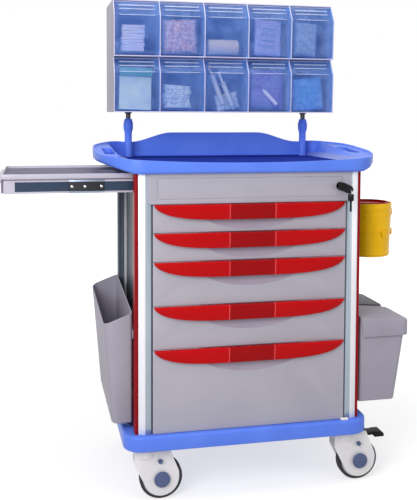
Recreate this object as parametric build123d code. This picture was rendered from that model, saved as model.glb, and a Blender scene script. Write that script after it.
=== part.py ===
"""Crash cart with drawers, a work tray, a tilt-bin rack, a pull-out shelf and side bins.

Millimetres, +X to the right, +Y to the back, +Z up. Every piece is first built about the
cabinet's own centre line, and saved moved so that the origin is on the floor, below the
middle of the whole cart's box.
"""
from build123d import *
from math import asin, cos, degrees, radians, sin
import os

os.makedirs("parts", exist_ok=True)

# ---- clearances ---------------------------------------------------------------------------
run_fit = 0.05            # radial, a shaft in its bore
slide_gap = 0.3           # between a moving piece and the one that carries it
panel_gap = 1.5           # seam around a drawer front
touch = 1.0               # how near counts as the same place when edges are picked

# ---- castors ------------------------------------------------------------------------------
wheel_radius = 62.5
wheel_width = 32.0
tyre_thickness = 9.0
tyre_shoulder = 7.0       # its rounded edges
hub_width = 35.0
axle_radius = 6.0
castor_trail = 45.0       # wheel centre behind the swivel axis
castor_side_inset = 64.5  # swivel axes inside the deck's edges
castor_end_inset = 60.0
cheek_gap = 1.0           # hub face to cheek
cheek_thickness = 5.0
cover_radius = 56.0       # round part of the cheek
cover_rise = 2.0          # its centre above the axle
crown_radius = 33.0       # head of the yoke around the swivel pin
crown_height = 22.0
yoke_brow = 22.0          # top of the cheeks, in front of the axle
wheel_clearance = 3.0     # tyre to crown
stem_radius = 6.0
stem_head_radius = 26.0
stem_head = 7.0
pedal_pin_radius = 3.0
pedal_boss_radius = 6.0
pedal_rise = 3.0          # top of the arm and pad above the pin
pedal_pin_x = 66.0        # pedal pivot from the swivel axis
pedal_pin_drop = 18.0     # below the deck
pedal_reach = 61.0
pedal_foot = 30.0         # length of the pad that is stepped on
pedal_width = 40.0
pedal_thickness = 12.0

# ---- base deck ----------------------------------------------------------------------------
deck_bottom = 159.0
deck_height = 44.0
deck_width = 735.0
deck_depth = 520.0
deck_corner = 56.0
deck_wall = 5.0
deck_edge = 7.0
castor_pad_radius = 36.0

# ---- cabinet ------------------------------------------------------------------------------
body_width = 674.0        # over the accent strips
body_depth = 482.0        # over the column faces
column_width = 38.5
column_depth = 45.0
column_bulge = 6.0
column_wall = 2.5
strip_width = 10.0
strip_round = 5.0
panel_thickness = 4.0
panel_recess = 27.0       # side panels behind the strips' outer faces
back_recess = 15.0
beam = 20.0               # square section of the cross-beams

# ---- top tray -----------------------------------------------------------------------------
tray_bottom = 945.0
tray_sole = 21.0          # underside to the floor's underside
tray_floor_thickness = 4.0
tray_wall = 5.0
tray_front = 262.0
tray_back = 246.0
tray_front_half = 352.0   # front corner, before it is rounded
tray_half = 432.0         # over the handle wings
wing_front = 120.0
wing_back = 110.0
tray_corner = 60.0
wing_corner = 110.0
wing_rise = 27.0          # the underside sweeps up this far at the wing's edge
wing_deck = 12.0          # wing surface above the tray floor
floor_half = 320.0        # flat floor, then a ramp up to the wing
ramp_run = 36.0
rim_front = 978.0
rim_wing_front = 994.0
rim_wing_back = 1014.0
rim_back = 1020.0
guard_top = 1049.0
guard_flat_half = 150.0
guard_shoulder = 1017.0
guard_shoulder_half = 290.0
grip_slot_width = 32.0
grip_slot_length = 140.0
grip_slot_inset = 44.0    # slot's middle inside the wing's edge
grip_slot_y = -5.0

# ---- lock panel, lock and keys --------------------------------------------------------------
lock_panel_half = 302.0
lock_panel_thickness = 6.0
lock_panel_corner = 10.0
lock_panel_groove = 1.2
lock_panel_border = 13.0
lock_side_inset = 36.0    # lock's axis inside the fascia's right end
lock_z = 903.0
lock_ring_radius = 12.5
lock_ring_height = 3.0
lock_barrel_radius = 10.0
lock_plug_radius = 7.0
lock_depth = 42.0
cam_length = 24.0
cam_thickness = 2.5
key_stand_off = 13.0      # key bow in front of the lock's ring
key_neck_radius = 3.5
key_bow_length = 46.0
key_bow_width = 24.0
key_bow_thickness = 6.0
key_angle = -24.0         # from +X, about the lock
key_hole_radius = 2.6
key_hole_edge = 5.5
ring_radius = 7.5
ring_wire = 0.9
spare_bow_width = 17.0
spare_bow_length = 23.0
spare_bow_corner = 5.5
spare_blade_length = 30.0
spare_blade_width = 6.0
spare_blade_thickness = 2.0
spare_thickness = 4.0

# ---- drawers --------------------------------------------------------------------------------
drawer_tops = [858.0, 777.0, 695.0, 569.0, 445.0]   # top of each front, from the top down
front_side_gap = 2.0      # seam beside the columns
front_thickness = 16.0
front_proud = 2.0         # in front of the columns
rail_space = 24.5         # box side to column
box_depth = 420.0
box_wall = 3.0
box_headroom = 22.0       # box rim below the top of its front
box_lift = 8.0            # box floor above the bottom of its front
rail_height = 35.0
rail_metal = 1.5
rail_open = 10.0          # box side to the fixed member's open side
rail_depth = 442.0
rail_drop = 50.0          # rail centre below the top of the front
handle_inset = 3.5        # its ends inside the front's
handle_drop = 44.0        # deepest point of the crescent
handle_tip = 4.0          # its height at the ends
handle_mouth = 44.0       # how far its hollow's outline passes its lower edge
belly_shoulder = (0.96, 0.95)   # fullness of a crescent near its ends, as shares of its half and drop
belly_flat = 0.6          # share of its half that is nearly flat below
handle_reach = 16.0
handle_skin = 3.0
scoop_half = 136.0
scoop_drop = 64.0
scoop_tip = 0.5           # its height at the ends
scoop_depth = 10.0

# ---- pull-out shelf -------------------------------------------------------------------------
shelf_half_depth = 190.0
shelf_length = 380.0
shelf_travel = 360.0
shelf_out = 697.0         # outer edge of the pan, from the centre line, pulled out
shelf_top = 944.0
shelf_rim = 14.0
shelf_body_bottom = 892.0
shelf_wall = 3.0
shelf_recess = 8.0
slide_height = 37.0
slide_layer = 4.0         # thickness of each telescoping member
slide_bottom = 889.0
slide_length = 370.0
slide_mount_x = 20.0      # brackets that carry the fixed members
slide_mount_width = 24.0
grip_plate_height = 44.0
grip_plate = 3.0
grip_reach = 14.0

# ---- tilt-bin rack --------------------------------------------------------------------------
rack_half = 363.0
rack_bottom = 1117.0
rack_row = 177.0
rack_rows = 2
rack_columns = 5
rack_sheet = 3.0
rack_back = 312.0
rack_lip = 95.0           # front edge at the top of a row
rack_knee = 64.0          # front edge at the knee
rack_foot = 70.0          # front edge at the bottom of a row
knee_drop = 52.0
post_x = 303.0
post_y = 200.0
post_radius = 8.0
sleeve_radius = 12.0
sleeve_socket = 5.0       # its foot is let into the tray's floor
sleeve_height = 92.0
collar_radius = 15.5
collar_height = 26.0
collar_edge = 2.5
flange_radius = 20.0
flange_thickness = 4.0
bin_gap = 0.6
bin_front_gap = 1.0       # bin's front behind the uprights' front edges
bin_overrun = 20.0        # the hollow is cut this far above the lip
bin_wall = 2.0
bin_back_radius = 150.0   # the back wall swings clear about the pivot
bin_back_angle = 60.0
bin_pin_radius = 3.0
bin_pin_setback = 5.5     # pivot behind the bin's front, and above its underside
bin_top_drop = 6.0

# ---- left bin -------------------------------------------------------------------------------
side_gap = 2.5            # bins from the strips' outer faces
pocket_depth = 87.5       # at the rim, from the cabinet outwards
pocket_foot_depth = 58.0
pocket_front = 205.0
pocket_back = 209.0
pocket_taper = 8.0
pocket_bottom = 224.0
pocket_rim_front = 546.0  # rim at the cabinet's side
pocket_rim_rise = 31.0    # from front to back
pocket_rim_fall = 32.0    # from the cabinet outwards
pocket_wall = 3.0
pocket_corner = 9.0
hanger_z = 470.0
hanger_height = 26.0
hanger_bar = 8.0
hanger_foot = 30.0
hanger_foot_y = 180.0
hook_metal = 3.0
hook_drop = 12.0
hook_length = 30.0
pocket_hook_y = 100.0
wire_radius = 2.5
wire_inset = 15.0         # its feet inside the strips' outer faces

# ---- waste bins and sharps box ----------------------------------------------------------------
waste_gap = 8.0           # hanger's thickness in front of the strips
waste_width = 151.0       # body at the rim, outwards
waste_foot_width = 119.0
waste_length = 164.0      # along the cabinet
waste_foot_length = 140.0
waste_bottom = 242.0
waste_rim = 486.0
waste_wall = 3.0
waste_corner = 14.0
waste_hanger_z = 418.0
waste_front = 230.0
waste_pitch = 190.0
lid_over = 6.0            # lid skirt outside the rim
lid_wall = 2.5
lid_skirt = 46.0
lid_high = 504.0
lid_low = 491.0
lid_lift = 1.0            # closed lid above the rim
lid_notch = 8.0           # side skirts stop this far from the hinge side
lid_bead_radius = 3.5
sharps_x = 435.0
sharps_y = -60.0
sharps_radius = 75.0
sharps_foot_radius = 69.0
sharps_bottom = 665.0
sharps_shoulder = 819.0
sharps_wall = 2.5
sharps_neck_radius = 60.0
sharps_neck = 6.0
sharps_lid_radius = 66.0
sharps_lid_height = 16.0
sharps_slot = 20.0        # half-moon drop slot starts this far from the middle
sharps_slot_rim = 5.0     # neck left around the slot
sharps_lug_z = 745.0
sharps_lug = 40.0

# ---- worked-out places ------------------------------------------------------------------------
deck_top = deck_bottom + deck_height
body_half = body_width / 2
strip_inner = body_half - strip_width
column_inner = strip_inner - column_width
column_front = body_depth / 2
front_half = column_inner - front_side_gap
box_half = column_inner - rail_space
handle_half = front_half - handle_inset
castor_x = deck_width / 2 - castor_side_inset
castor_y = deck_depth / 2 - castor_end_inset
column_rear = column_front - column_depth
side_outer = body_half - panel_recess
side_inner = side_outer - panel_thickness
back_outer = column_front - back_recess
back_inner = back_outer - panel_thickness
tray_floor = tray_bottom + tray_sole + tray_floor_thickness
front_face = column_front + front_proud
front_back = front_face - front_thickness
lock_panel_back = column_front + slide_gap
lock_face = lock_panel_back + lock_panel_thickness
lock_x = lock_panel_half - lock_side_inset
grip_slot_x = tray_half - grip_slot_inset
box_front = front_back
box_back = box_depth - box_front
rail_front = front_back - slide_gap
rail_back = rail_depth - rail_front
waste_inner = body_half + waste_gap
pocket_inner = body_half + side_gap
shelf_inner_end = shelf_out - shelf_length
drawer_floor = [top + panel_gap for top in drawer_tops[1:]] + [deck_top + panel_gap]
rack_top = rack_bottom + rack_rows * rack_row
bin_pitch = (2 * rack_half - rack_sheet) / rack_columns
bin_width = bin_pitch - rack_sheet - 2 * bin_gap
pivot_y = rack_foot + bin_front_gap + bin_pin_setback

# the cart's box, from which the origin is set
left_reach = shelf_out + grip_reach
right_reach = sharps_x + sharps_radius
ring_front = lock_face + lock_ring_height + key_stand_off + key_bow_thickness / 2
front_reach = ring_front + ring_radius + ring_wire
back_reach = rack_back
origin_x = (right_reach - left_reach) / 2
origin_y = (back_reach - front_reach) / 2


# ---- helpers ----------------------------------------------------------------------------------
def block(x0, x1, y0, y1, z0, z1):
    """A box between two corners."""
    centre = Pos((x0 + x1) / 2, (y0 + y1) / 2, (z0 + z1) / 2)
    return centre * Box(abs(x1 - x0), abs(y1 - y0), abs(z1 - z0))


def rod(radius, start, end):
    """A round bar between two points."""
    axis = Vector(*end) - Vector(*start)
    plane = Plane(origin=start, z_dir=axis)
    return extrude(plane * Circle(radius), axis.length)


def plate_yz(points, x0, x1):
    """A polygon of (y, z) points, made solid from x0 to x1."""
    face = make_face(Polyline([(x0, y, z) for y, z in points], close=True))
    return extrude(face, x1 - x0, dir=(1, 0, 0))


def plate_xz(points, y0, y1):
    """A polygon of (x, z) points, made solid from y0 to y1."""
    face = make_face(Polyline([(x, y0, z) for x, z in points], close=True))
    return extrude(face, y1 - y0, dir=(0, 1, 0))


def flip_x(shape):
    return mirror(shape, about=Plane.YZ)


def flip_y(shape):
    return mirror(shape, about=Plane.XZ)


def tapered(foot, mouth, corner, foot_z, mouth_z):
    """A rounded rectangular prism whose plan grows from foot to mouth.

    foot and mouth are (x0, x1, y0, y1).
    """
    sections = []
    for (x0, x1, y0, y1), z in ((foot, foot_z), (mouth, mouth_z)):
        plan = RectangleRounded(x1 - x0, y1 - y0, corner)
        sections.append(Pos((x0 + x1) / 2, (y0 + y1) / 2, z) * plan)
    return loft(sections)


def inset(plan, wall):
    x0, x1, y0, y1 = plan
    return (x0 + wall, x1 - wall, y0 + wall, y1 - wall)


def save(name, *shapes):
    """Write one node, as a group when it has more than one solid."""
    solids = [solid for shape in shapes for solid in shape.solids()]
    moved = [Pos(-origin_x, -origin_y, 0) * solid for solid in solids]
    export_step(moved[0] if len(moved) == 1 else Compound(children=moved), f"parts/{name}.step")


# ---- base and cabinet -------------------------------------------------------------------------
def base_deck():
    """Moulded deck: a shell with a solid pad over each castor."""
    outline = RectangleRounded(deck_width, deck_depth, deck_corner)
    deck = extrude(Pos(0, 0, deck_bottom) * outline, deck_height)
    deck = fillet(deck.faces().sort_by(Axis.Z)[-1].edges(), deck_edge)
    inner = RectangleRounded(deck_width - 2 * deck_wall, deck_depth - 2 * deck_wall, deck_corner - deck_wall)
    pocket = extrude(Pos(0, 0, deck_bottom) * inner, deck_height - deck_wall)
    for x in (-castor_x, castor_x):
        for y in (-castor_y, castor_y):
            pocket -= Pos(x, y, deck_bottom + deck_height / 2) * Cylinder(castor_pad_radius, deck_height)
    return deck - pocket


def column():
    """Front right column: a hollow extrusion with a bowed face."""
    flat = -column_front + column_bulge
    middle = (column_inner + strip_inner) / 2
    face = ThreePointArc((column_inner, flat), (middle, -column_front), (strip_inner, flat))
    sides = Polyline((strip_inner, flat), (strip_inner, -column_rear), (column_inner, -column_rear),
                     (column_inner, flat))
    section = make_face(face + sides)
    section -= offset(section, -column_wall, kind=Kind.INTERSECTION)
    return extrude(Pos(0, 0, deck_top) * section, tray_bottom - deck_top)


def accent_strip():
    """Front right strip, in the column's outer side."""
    strip = block(strip_inner, body_half, -column_front + column_bulge, -column_rear, deck_top, tray_bottom)
    corner = strip.edges().filter_by(Axis.Z).sort_by(lambda e: e.center().X - e.center().Y)[-1]
    return fillet(corner, strip_round)


def four_corners(piece):
    return [piece, flip_x(piece), flip_y(piece), flip_x(flip_y(piece))]


def beam_with_mounts(outer):
    """Front beam, its outer face at -outer, with the brackets of the shelf's fixed slide."""
    span = block(-column_inner, column_inner, -outer, -outer + beam, tray_bottom - beam, tray_bottom)
    for x in (-column_inner + beam + slide_mount_width, slide_mount_x):
        span += block(x - slide_mount_width / 2, x + slide_mount_width / 2, -outer + beam, -shelf_half_depth,
                      slide_bottom, tray_bottom)
    return span


def cross_beams():
    """Beams under the tray; the front and back ones carry the shelf's fixed slides."""
    side = block(column_inner, side_inner, -column_rear, column_rear, tray_bottom - beam, tray_bottom)
    return [beam_with_mounts(rail_front), flip_y(beam_with_mounts(back_inner)), side]


def cabinet_panels():
    """Side and back sheets; the left one stops below the shelf's doorway."""
    right = block(side_inner, side_outer, -column_rear, column_rear, deck_top, tray_bottom)
    left = block(-side_outer, -side_inner, -column_rear, column_rear, deck_top, slide_bottom - panel_gap)
    back = block(-column_inner, column_inner, back_inner, back_outer, deck_top, tray_bottom)
    return [right, left, back]


# ---- top tray ---------------------------------------------------------------------------------
def tray_plan():
    corners = [(-tray_front_half, -tray_front), (tray_front_half, -tray_front),
               (tray_half, -wing_front), (tray_half, wing_back),
               (tray_front_half, tray_back), (-tray_front_half, tray_back),
               (-tray_half, wing_back), (-tray_half, -wing_front)]
    plan = make_face(Polyline(corners, close=True))
    wings = plan.vertices().filter_by(lambda v: abs(v.X) > tray_half - touch)
    plan = fillet(wings, wing_corner)
    ends = plan.vertices().filter_by(lambda v: v.Y < touch - tray_front or v.Y > tray_back - touch)
    return fillet(ends, tray_corner)


def top_tray():
    """Moulded work tray with a raised guard at the back and a hand slot in each wing."""
    plan = tray_plan()
    outside = extrude(Pos(0, 0, tray_bottom) * plan, guard_top - tray_bottom)
    hull = [(-body_half, tray_bottom), (body_half, tray_bottom), (tray_half, tray_bottom + wing_rise),
            (tray_half, guard_top), (-tray_half, guard_top), (-tray_half, tray_bottom + wing_rise)]
    outside &= plate_xz(hull, -tray_front, tray_back)
    guard_front = tray_back - tray_wall
    rim = plate_yz([(-tray_front, tray_bottom), (tray_back, tray_bottom), (tray_back, rim_back),
                    (wing_back, rim_wing_back), (-wing_front, rim_wing_front), (-tray_front, rim_front)],
                   -tray_half, tray_half)
    guard = plate_xz([(-guard_shoulder_half, rim_front), (guard_shoulder_half, rim_front),
                      (guard_shoulder_half, guard_shoulder), (guard_flat_half, guard_top),
                      (-guard_flat_half, guard_top), (-guard_shoulder_half, guard_shoulder)],
                     guard_front, tray_back)
    outside &= rim + guard
    wing_z = tray_floor + wing_deck
    inside = extrude(Pos(0, 0, tray_floor) * offset(plan, -tray_wall), guard_top - tray_floor)
    inside &= plate_xz([(-floor_half, tray_floor), (floor_half, tray_floor), (floor_half + ramp_run, wing_z),
                        (tray_half, wing_z), (tray_half, guard_top), (-tray_half, guard_top),
                        (-tray_half, wing_z), (-floor_half - ramp_run, wing_z)], -tray_front, tray_back)
    tray = outside - inside
    tray -= block(-column_inner + beam, column_inner - beam, -column_rear, column_rear,
                  tray_bottom, tray_bottom + tray_sole)
    slot = Rot(0, 0, 90) * SlotOverall(grip_slot_length, grip_slot_width)
    for x in (-grip_slot_x, grip_slot_x):
        tray -= extrude(Pos(x, grip_slot_y, tray_bottom) * slot, guard_top - tray_bottom)
    socket = post_rod(sleeve_radius + slide_gap, tray_floor - sleeve_socket, guard_top)
    return tray - socket - flip_x(socket)


# ---- lock ---------------------------------------------------------------------------------------
def lock_panel():
    """Fixed fascia above the drawers, with a boxed back that reaches the front beam."""
    low = drawer_tops[0] + panel_gap
    face = block(-lock_panel_half, lock_panel_half, -lock_face, -lock_panel_back, low, tray_bottom)
    lower = face.edges().filter_by(Axis.Y).group_by(Axis.Z)[0]
    face = fillet(lower, lock_panel_corner)
    ring = block(-front_half, front_half, -lock_panel_back, -rail_front, low, tray_bottom)
    ring -= block(-front_half + box_wall, front_half - box_wall, -lock_panel_back, -rail_front,
                  low + box_wall, tray_bottom)
    panel = face + ring
    panel -= inlay(lock_panel_border, low) - inlay(lock_panel_border + lock_panel_groove, low)
    return panel - lock_rod(lock_barrel_radius + run_fit, -lock_face, -rail_front)


def inlay(border, low):
    """Shallow block behind the fascia's face, a border in from its edges."""
    return block(-front_half + border, front_half - border, -lock_face, -lock_face + lock_panel_groove,
                 low + border, tray_bottom - border)


def lock_rod(radius, front, back):
    """Round bar on the lock's axis."""
    return rod(radius, (lock_x, front, lock_z), (lock_x, back, lock_z))


def lock_housing():
    """Chrome ring and barrel around the turning plug."""
    back = -lock_face + lock_depth
    front = -lock_face - lock_ring_height
    housing = lock_rod(lock_barrel_radius, -lock_face, back) + lock_rod(lock_ring_radius, front, -lock_face)
    return housing - lock_rod(lock_plug_radius + run_fit, front, back)


def key_hole_place():
    """Centre of the hole at the far end of the key's bow."""
    reach = key_bow_length - key_hole_edge - key_bow_width / 2
    return lock_x + reach * cos(radians(key_angle)), lock_z + reach * sin(radians(key_angle))


def lock_key():
    """Plug, cam and the folded key that stays in the lock; they turn as one."""
    face = -lock_face - lock_ring_height
    back = -lock_face + lock_depth + slide_gap
    bow_back = face - key_stand_off
    bow_front = bow_back - key_bow_thickness
    turning = lock_rod(lock_plug_radius, face, back) + lock_rod(key_neck_radius, bow_back, face)
    turning += block(lock_x - lock_plug_radius, lock_x + lock_plug_radius, back, back + cam_thickness,
                     lock_z - cam_length, lock_z + lock_plug_radius)
    bow = Plane(origin=(lock_x, bow_back, lock_z), x_dir=(1, 0, 0), z_dir=(0, -1, 0))
    centre = key_bow_length / 2 - key_bow_width / 2
    shape = bow * Rot(0, 0, key_angle) * Pos(centre, 0, 0) * SlotOverall(key_bow_length, key_bow_width)
    turning += extrude(shape, key_bow_thickness)
    x, z = key_hole_place()
    return turning - rod(key_hole_radius, (x, bow_front, z), (x, bow_back, z))


def spare_key_ring():
    """Split ring through the key's bow, with a spare key hanging on it."""
    x, z = key_hole_place()
    y = -lock_face - lock_ring_height - key_stand_off - key_bow_thickness / 2
    ring = Pos(x, y, z - ring_radius) * Rot(0, 90, 0) * Torus(ring_radius, ring_wire)
    hole_z = z - 2 * ring_radius
    top = hole_z + key_hole_edge
    plane = Plane(origin=(x, y + spare_thickness / 2, top - spare_bow_length / 2), x_dir=(1, 0, 0),
                  z_dir=(0, -1, 0))
    bow = RectangleRounded(spare_bow_width, spare_bow_length, spare_bow_corner)
    key = extrude(plane * bow, spare_thickness)
    low = top - spare_bow_length
    key += block(x - spare_blade_width / 2, x + spare_blade_width / 2, y - spare_blade_thickness / 2,
                 y + spare_blade_thickness / 2, low - spare_blade_length, low)
    key -= rod(key_hole_radius, (x, y - spare_thickness, hole_z), (x, y + spare_thickness, hole_z))
    return [ring, key]


# ---- drawers ------------------------------------------------------------------------------------
def drawer_rails():
    """Fixed outer members: a channel on each side of each drawer."""
    rails = []
    for top in drawer_tops:
        middle = top - rail_drop
        low, high = middle - rail_height / 2, middle + rail_height / 2
        rail = block(box_half + rail_open, column_inner, -rail_front, rail_back, low, high)
        rail -= block(box_half, column_inner - rail_metal, -rail_front, rail_back,
                      low + rail_metal, high - rail_metal)
        rails += [rail, flip_x(rail)]
    return rails


def drawer_box(number):
    """Open moulded box, with the moving slide member on each side."""
    top, low = drawer_tops[number], drawer_floor[number]
    floor = low + box_lift
    rim = top - box_headroom
    body = block(-box_half, box_half, -box_front, box_back, floor, rim)
    body -= block(-box_half + box_wall, box_half - box_wall, -box_front + box_wall, box_back - box_wall,
                  floor + box_wall, rim)
    half = rail_height / 2 - rail_metal - slide_gap
    runner = block(box_half, column_inner - rail_metal - slide_gap, -box_front, box_back,
                   top - rail_drop - half, top - rail_drop + half)
    return [body, runner, flip_x(runner)]


def crescent(half, tip, drop, z):
    """A flat-topped crescent in the XZ plane, full near its ends and nearly flat below."""
    shoulder_x, shoulder_z = belly_shoulder[0] * half, z - tip - belly_shoulder[1] * (drop - tip)
    right = Bezier((half, 0, z - tip), (shoulder_x, 0, shoulder_z), (belly_flat * half, 0, z - drop),
                   (0, 0, z - drop))
    left = Bezier((0, 0, z - drop), (-belly_flat * half, 0, z - drop), (-shoulder_x, 0, shoulder_z),
                  (-half, 0, z - tip))
    rest = Polyline((-half, 0, z - tip), (-half, 0, z), (half, 0, z), (half, 0, z - tip))
    return make_face([right, left] + rest.edges())


def drawer_front(number):
    """Face panel with a shallow finger scoop behind and below the handle."""
    top, low = drawer_tops[number], drawer_floor[number]
    panel = block(-front_half, front_half, -front_face, -front_back, low, top)
    outline = crescent(scoop_half, scoop_tip, scoop_drop, top - handle_skin)
    scoop = extrude(outline, scoop_depth, dir=(0, 1, 0))
    return panel - Pos(0, -front_face, 0) * scoop


def drawer_handle(number):
    """Crescent pull: a curved skin with a top wall, open below for the fingers."""
    top = drawer_tops[number]
    pull = extrude(crescent(handle_half, handle_tip, handle_drop, top), handle_reach, dir=(0, -1, 0))
    inside = crescent(handle_half - handle_skin, handle_tip, handle_drop + handle_mouth, top - handle_skin)
    hollow = extrude(inside, handle_reach - handle_skin, dir=(0, -1, 0))
    return Pos(0, -front_face, 0) * (pull - hollow)


# ---- pull-out shelf -------------------------------------------------------------------------------
def slide_member(layer, outer_end):
    """A pair of slide members; layer 0 is on the shelf, 1 telescopes, 2 is fixed."""
    outside = shelf_half_depth - (2 - layer) * slide_layer
    skin = slide_gap if layer < 2 else 0
    member = block(-outer_end, slide_length - outer_end, -outside + skin, -outside + slide_layer,
                   slide_bottom, slide_bottom + slide_height)
    return [member, flip_y(member)]


def shelf_pan():
    """Shallow pan whose flanges cover the slides; its own slide members are riveted on."""
    deck_half = shelf_half_depth - 3 * slide_layer
    low = shelf_top - shelf_rim
    pan = block(-shelf_out, -shelf_inner_end, -shelf_half_depth, shelf_half_depth, low, shelf_top)
    pan += block(-shelf_out, -shelf_inner_end, -deck_half, deck_half, shelf_body_bottom, low)
    pan -= block(-shelf_out + shelf_wall, -shelf_inner_end - shelf_wall, -shelf_half_depth + shelf_wall,
                 shelf_half_depth - shelf_wall, shelf_top - shelf_recess, shelf_top)
    pan -= block(-shelf_out + shelf_wall, -shelf_inner_end, -deck_half + shelf_wall, deck_half - shelf_wall,
                 shelf_body_bottom, low)
    return [pan] + slide_member(0, shelf_out - shelf_wall)


def shelf_grip():
    """End plate with a lip, to pull the shelf by."""
    top = slide_bottom + grip_plate_height
    plate = block(-shelf_out - grip_plate, -shelf_out, -shelf_half_depth, shelf_half_depth, slide_bottom, top)
    lip = block(-shelf_out - grip_reach, -shelf_out - grip_plate, -shelf_half_depth, shelf_half_depth,
                top - grip_plate, top)
    hook = block(-shelf_out - grip_reach, -shelf_out - grip_reach + grip_plate, -shelf_half_depth,
                 shelf_half_depth, slide_bottom + grip_reach, top - grip_plate)
    return plate + lip + hook


# ---- tilt-bin rack --------------------------------------------------------------------------------
def row_floor(row):
    return rack_bottom + row * rack_row


def sheet_x(index):
    """Left face of an upright sheet."""
    return -rack_half + index * bin_pitch


def bin_rack():
    """Sheet housing: back, shelves and uprights whose front edges follow the bins."""
    rack = block(-rack_half, rack_half, rack_back - rack_sheet, rack_back, rack_bottom, rack_top)
    rack += block(-rack_half, rack_half, rack_foot, rack_back, rack_bottom, rack_bottom + rack_sheet)
    rack += block(-rack_half, rack_half, rack_lip, rack_back, rack_top - rack_sheet, rack_top)
    for row in range(1, rack_rows):
        z = row_floor(row)
        rack += block(-rack_half, rack_half, rack_foot, rack_back, z - rack_sheet / 2, z + rack_sheet / 2)
    for row in range(rack_rows):
        low, high = row_floor(row), row_floor(row) + rack_row
        outline = [(rack_foot, low), (rack_back, low), (rack_back, high), (rack_lip, high),
                   (rack_knee, high - knee_drop)]
        for index in range(rack_columns + 1):
            rack += plate_yz(outline, sheet_x(index), sheet_x(index) + rack_sheet)
        y, z = pivot_y, bin_pivot_z(row)
        rack -= rod(bin_pin_radius + run_fit, (-rack_half, y, z), (rack_half, y, z))
    return rack


def bin_pivot_z(row):
    return row_floor(row) + rack_sheet + bin_gap + bin_pin_setback


def bin_profile(row, wall, x, rise=0.0):
    """Side outline of a tilt bin, taken in by wall; rise lifts the open top out of the way."""
    y, z = pivot_y, bin_pivot_z(row)
    nose = bin_pin_setback - wall
    radius = bin_back_radius - wall
    start = -degrees(asin(nose / radius))
    high = row_floor(row) + rack_row
    lean = (rack_lip - rack_knee) / (knee_drop - bin_top_drop)
    lip = (x, rack_lip + bin_front_gap + wall + rise * lean, high - bin_top_drop + rise)
    knee = (x, rack_knee + bin_front_gap + wall, high - knee_drop)
    front = (x, y - nose, z)
    under = (x, y, z - nose)
    middle = (x, y - nose * cos(radians(45)), z - nose * sin(radians(45)))
    heel = (x, y + radius * cos(radians(start)), z + radius * sin(radians(start)))
    half = (start + bin_back_angle) / 2
    bend = (x, y + radius * cos(radians(half)), z + radius * sin(radians(half)))
    top = (x, y + radius * cos(radians(bin_back_angle)), z + radius * sin(radians(bin_back_angle)))
    edges = [Line(lip, knee), Line(knee, front), ThreePointArc(front, middle, under), Line(under, heel),
             ThreePointArc(heel, bend, top)]
    if rise:
        above = (x, top[1], lip[2])
        edges += [Line(top, above), Line(above, lip)]
    else:
        edges.append(Line(top, lip))
    return make_face(edges)


def tilt_bin(row, column_index):
    """Clear bin that tilts out about two stub pins near its lower front edge."""
    left = sheet_x(column_index) + rack_sheet + bin_gap
    bin_body = extrude(bin_profile(row, 0.0, left), bin_width, dir=(1, 0, 0))
    hollow = bin_profile(row, bin_wall, left + bin_wall, rise=bin_overrun)
    bin_body -= extrude(hollow, bin_width - 2 * bin_wall, dir=(1, 0, 0))
    y, z = pivot_y, bin_pivot_z(row)
    stub = (bin_gap + rack_sheet) / 2
    for start in (left - stub, left + bin_width - bin_wall):
        bin_body += rod(bin_pin_radius, (start, y, z), (start + stub + bin_wall, y, z))
    return bin_body


def post_rod(radius, low, high):
    """Round bar on the right post's axis."""
    return rod(radius, (post_x, post_y, low), (post_x, post_y, high))


def post_sleeve():
    """Right sleeve with its clamping collar."""
    collar_low = tray_floor + sleeve_height
    collar_top = collar_low + collar_height
    foot = tray_floor - sleeve_socket
    sleeve = post_rod(sleeve_radius, foot, collar_low) + post_rod(collar_radius, collar_low, collar_top)
    rims = sleeve.edges().filter_by(GeomType.CIRCLE).filter_by(lambda e: e.radius > sleeve_radius + touch)
    sleeve = chamfer(rims, collar_edge)
    return sleeve - post_rod(post_radius + run_fit, foot, collar_top)


def rack_post():
    """Right rod, with the flange that is screwed under the rack."""
    flange_low = rack_bottom - flange_thickness
    flange = post_rod(flange_radius, flange_low, rack_bottom)
    return post_rod(post_radius, tray_floor - sleeve_socket, rack_bottom) + flange


# ---- side bins --------------------------------------------------------------------------------------
def left_bin():
    """Open pocket with a raked rim."""
    tall = pocket_rim_front + pocket_rim_rise
    mouth = (-pocket_inner - pocket_depth, -pocket_inner, -pocket_front, pocket_back)
    foot = (-pocket_inner - pocket_foot_depth, -pocket_inner, -pocket_front + pocket_taper,
            pocket_back - pocket_taper)
    shell = tapered(foot, mouth, pocket_corner, pocket_bottom, tall)
    shell -= tapered(inset(foot, pocket_wall), inset(mouth, pocket_wall), pocket_corner - pocket_wall,
                     pocket_bottom + pocket_wall, tall)
    normal = Vector(-pocket_rim_fall / pocket_depth, -pocket_rim_rise / (pocket_front + pocket_back), 1)
    plane = Plane(origin=(-pocket_inner, -pocket_front, pocket_rim_front), z_dir=normal)
    pocket = split(shell, bisect_by=plane, keep=Keep.BOTTOM)
    for y in (-pocket_hook_y, pocket_hook_y):
        pocket += flip_x(hook(pocket_inner, y, hanger_z + hanger_height))
    return pocket


def hook(wall, y, bar_top):
    """Hook behind a right-hand bin's inner wall, over the top and back of its hanger's bar."""
    y0, y1 = y - hook_length / 2, y + hook_length / 2
    back = wall - hanger_bar - 2 * slide_gap
    low = bar_top + slide_gap
    over = block(back - hook_metal, wall, y0, y1, low, low + hook_metal)
    return over + block(back - hook_metal, back, y0, y1, low - hook_drop, low + hook_metal)


def hanger(sign, outer, z):
    """Bar on two feet that stands off a side panel."""
    top = z + hanger_height
    bar = block(sign * (outer - hanger_bar), sign * outer, -column_rear, column_rear, z, top)
    for y in (-hanger_foot_y, hanger_foot_y):
        bar += block(sign * side_outer, sign * (outer - hanger_bar), y - hanger_foot / 2, y + hanger_foot / 2,
                     z, top)
    return bar


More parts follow.
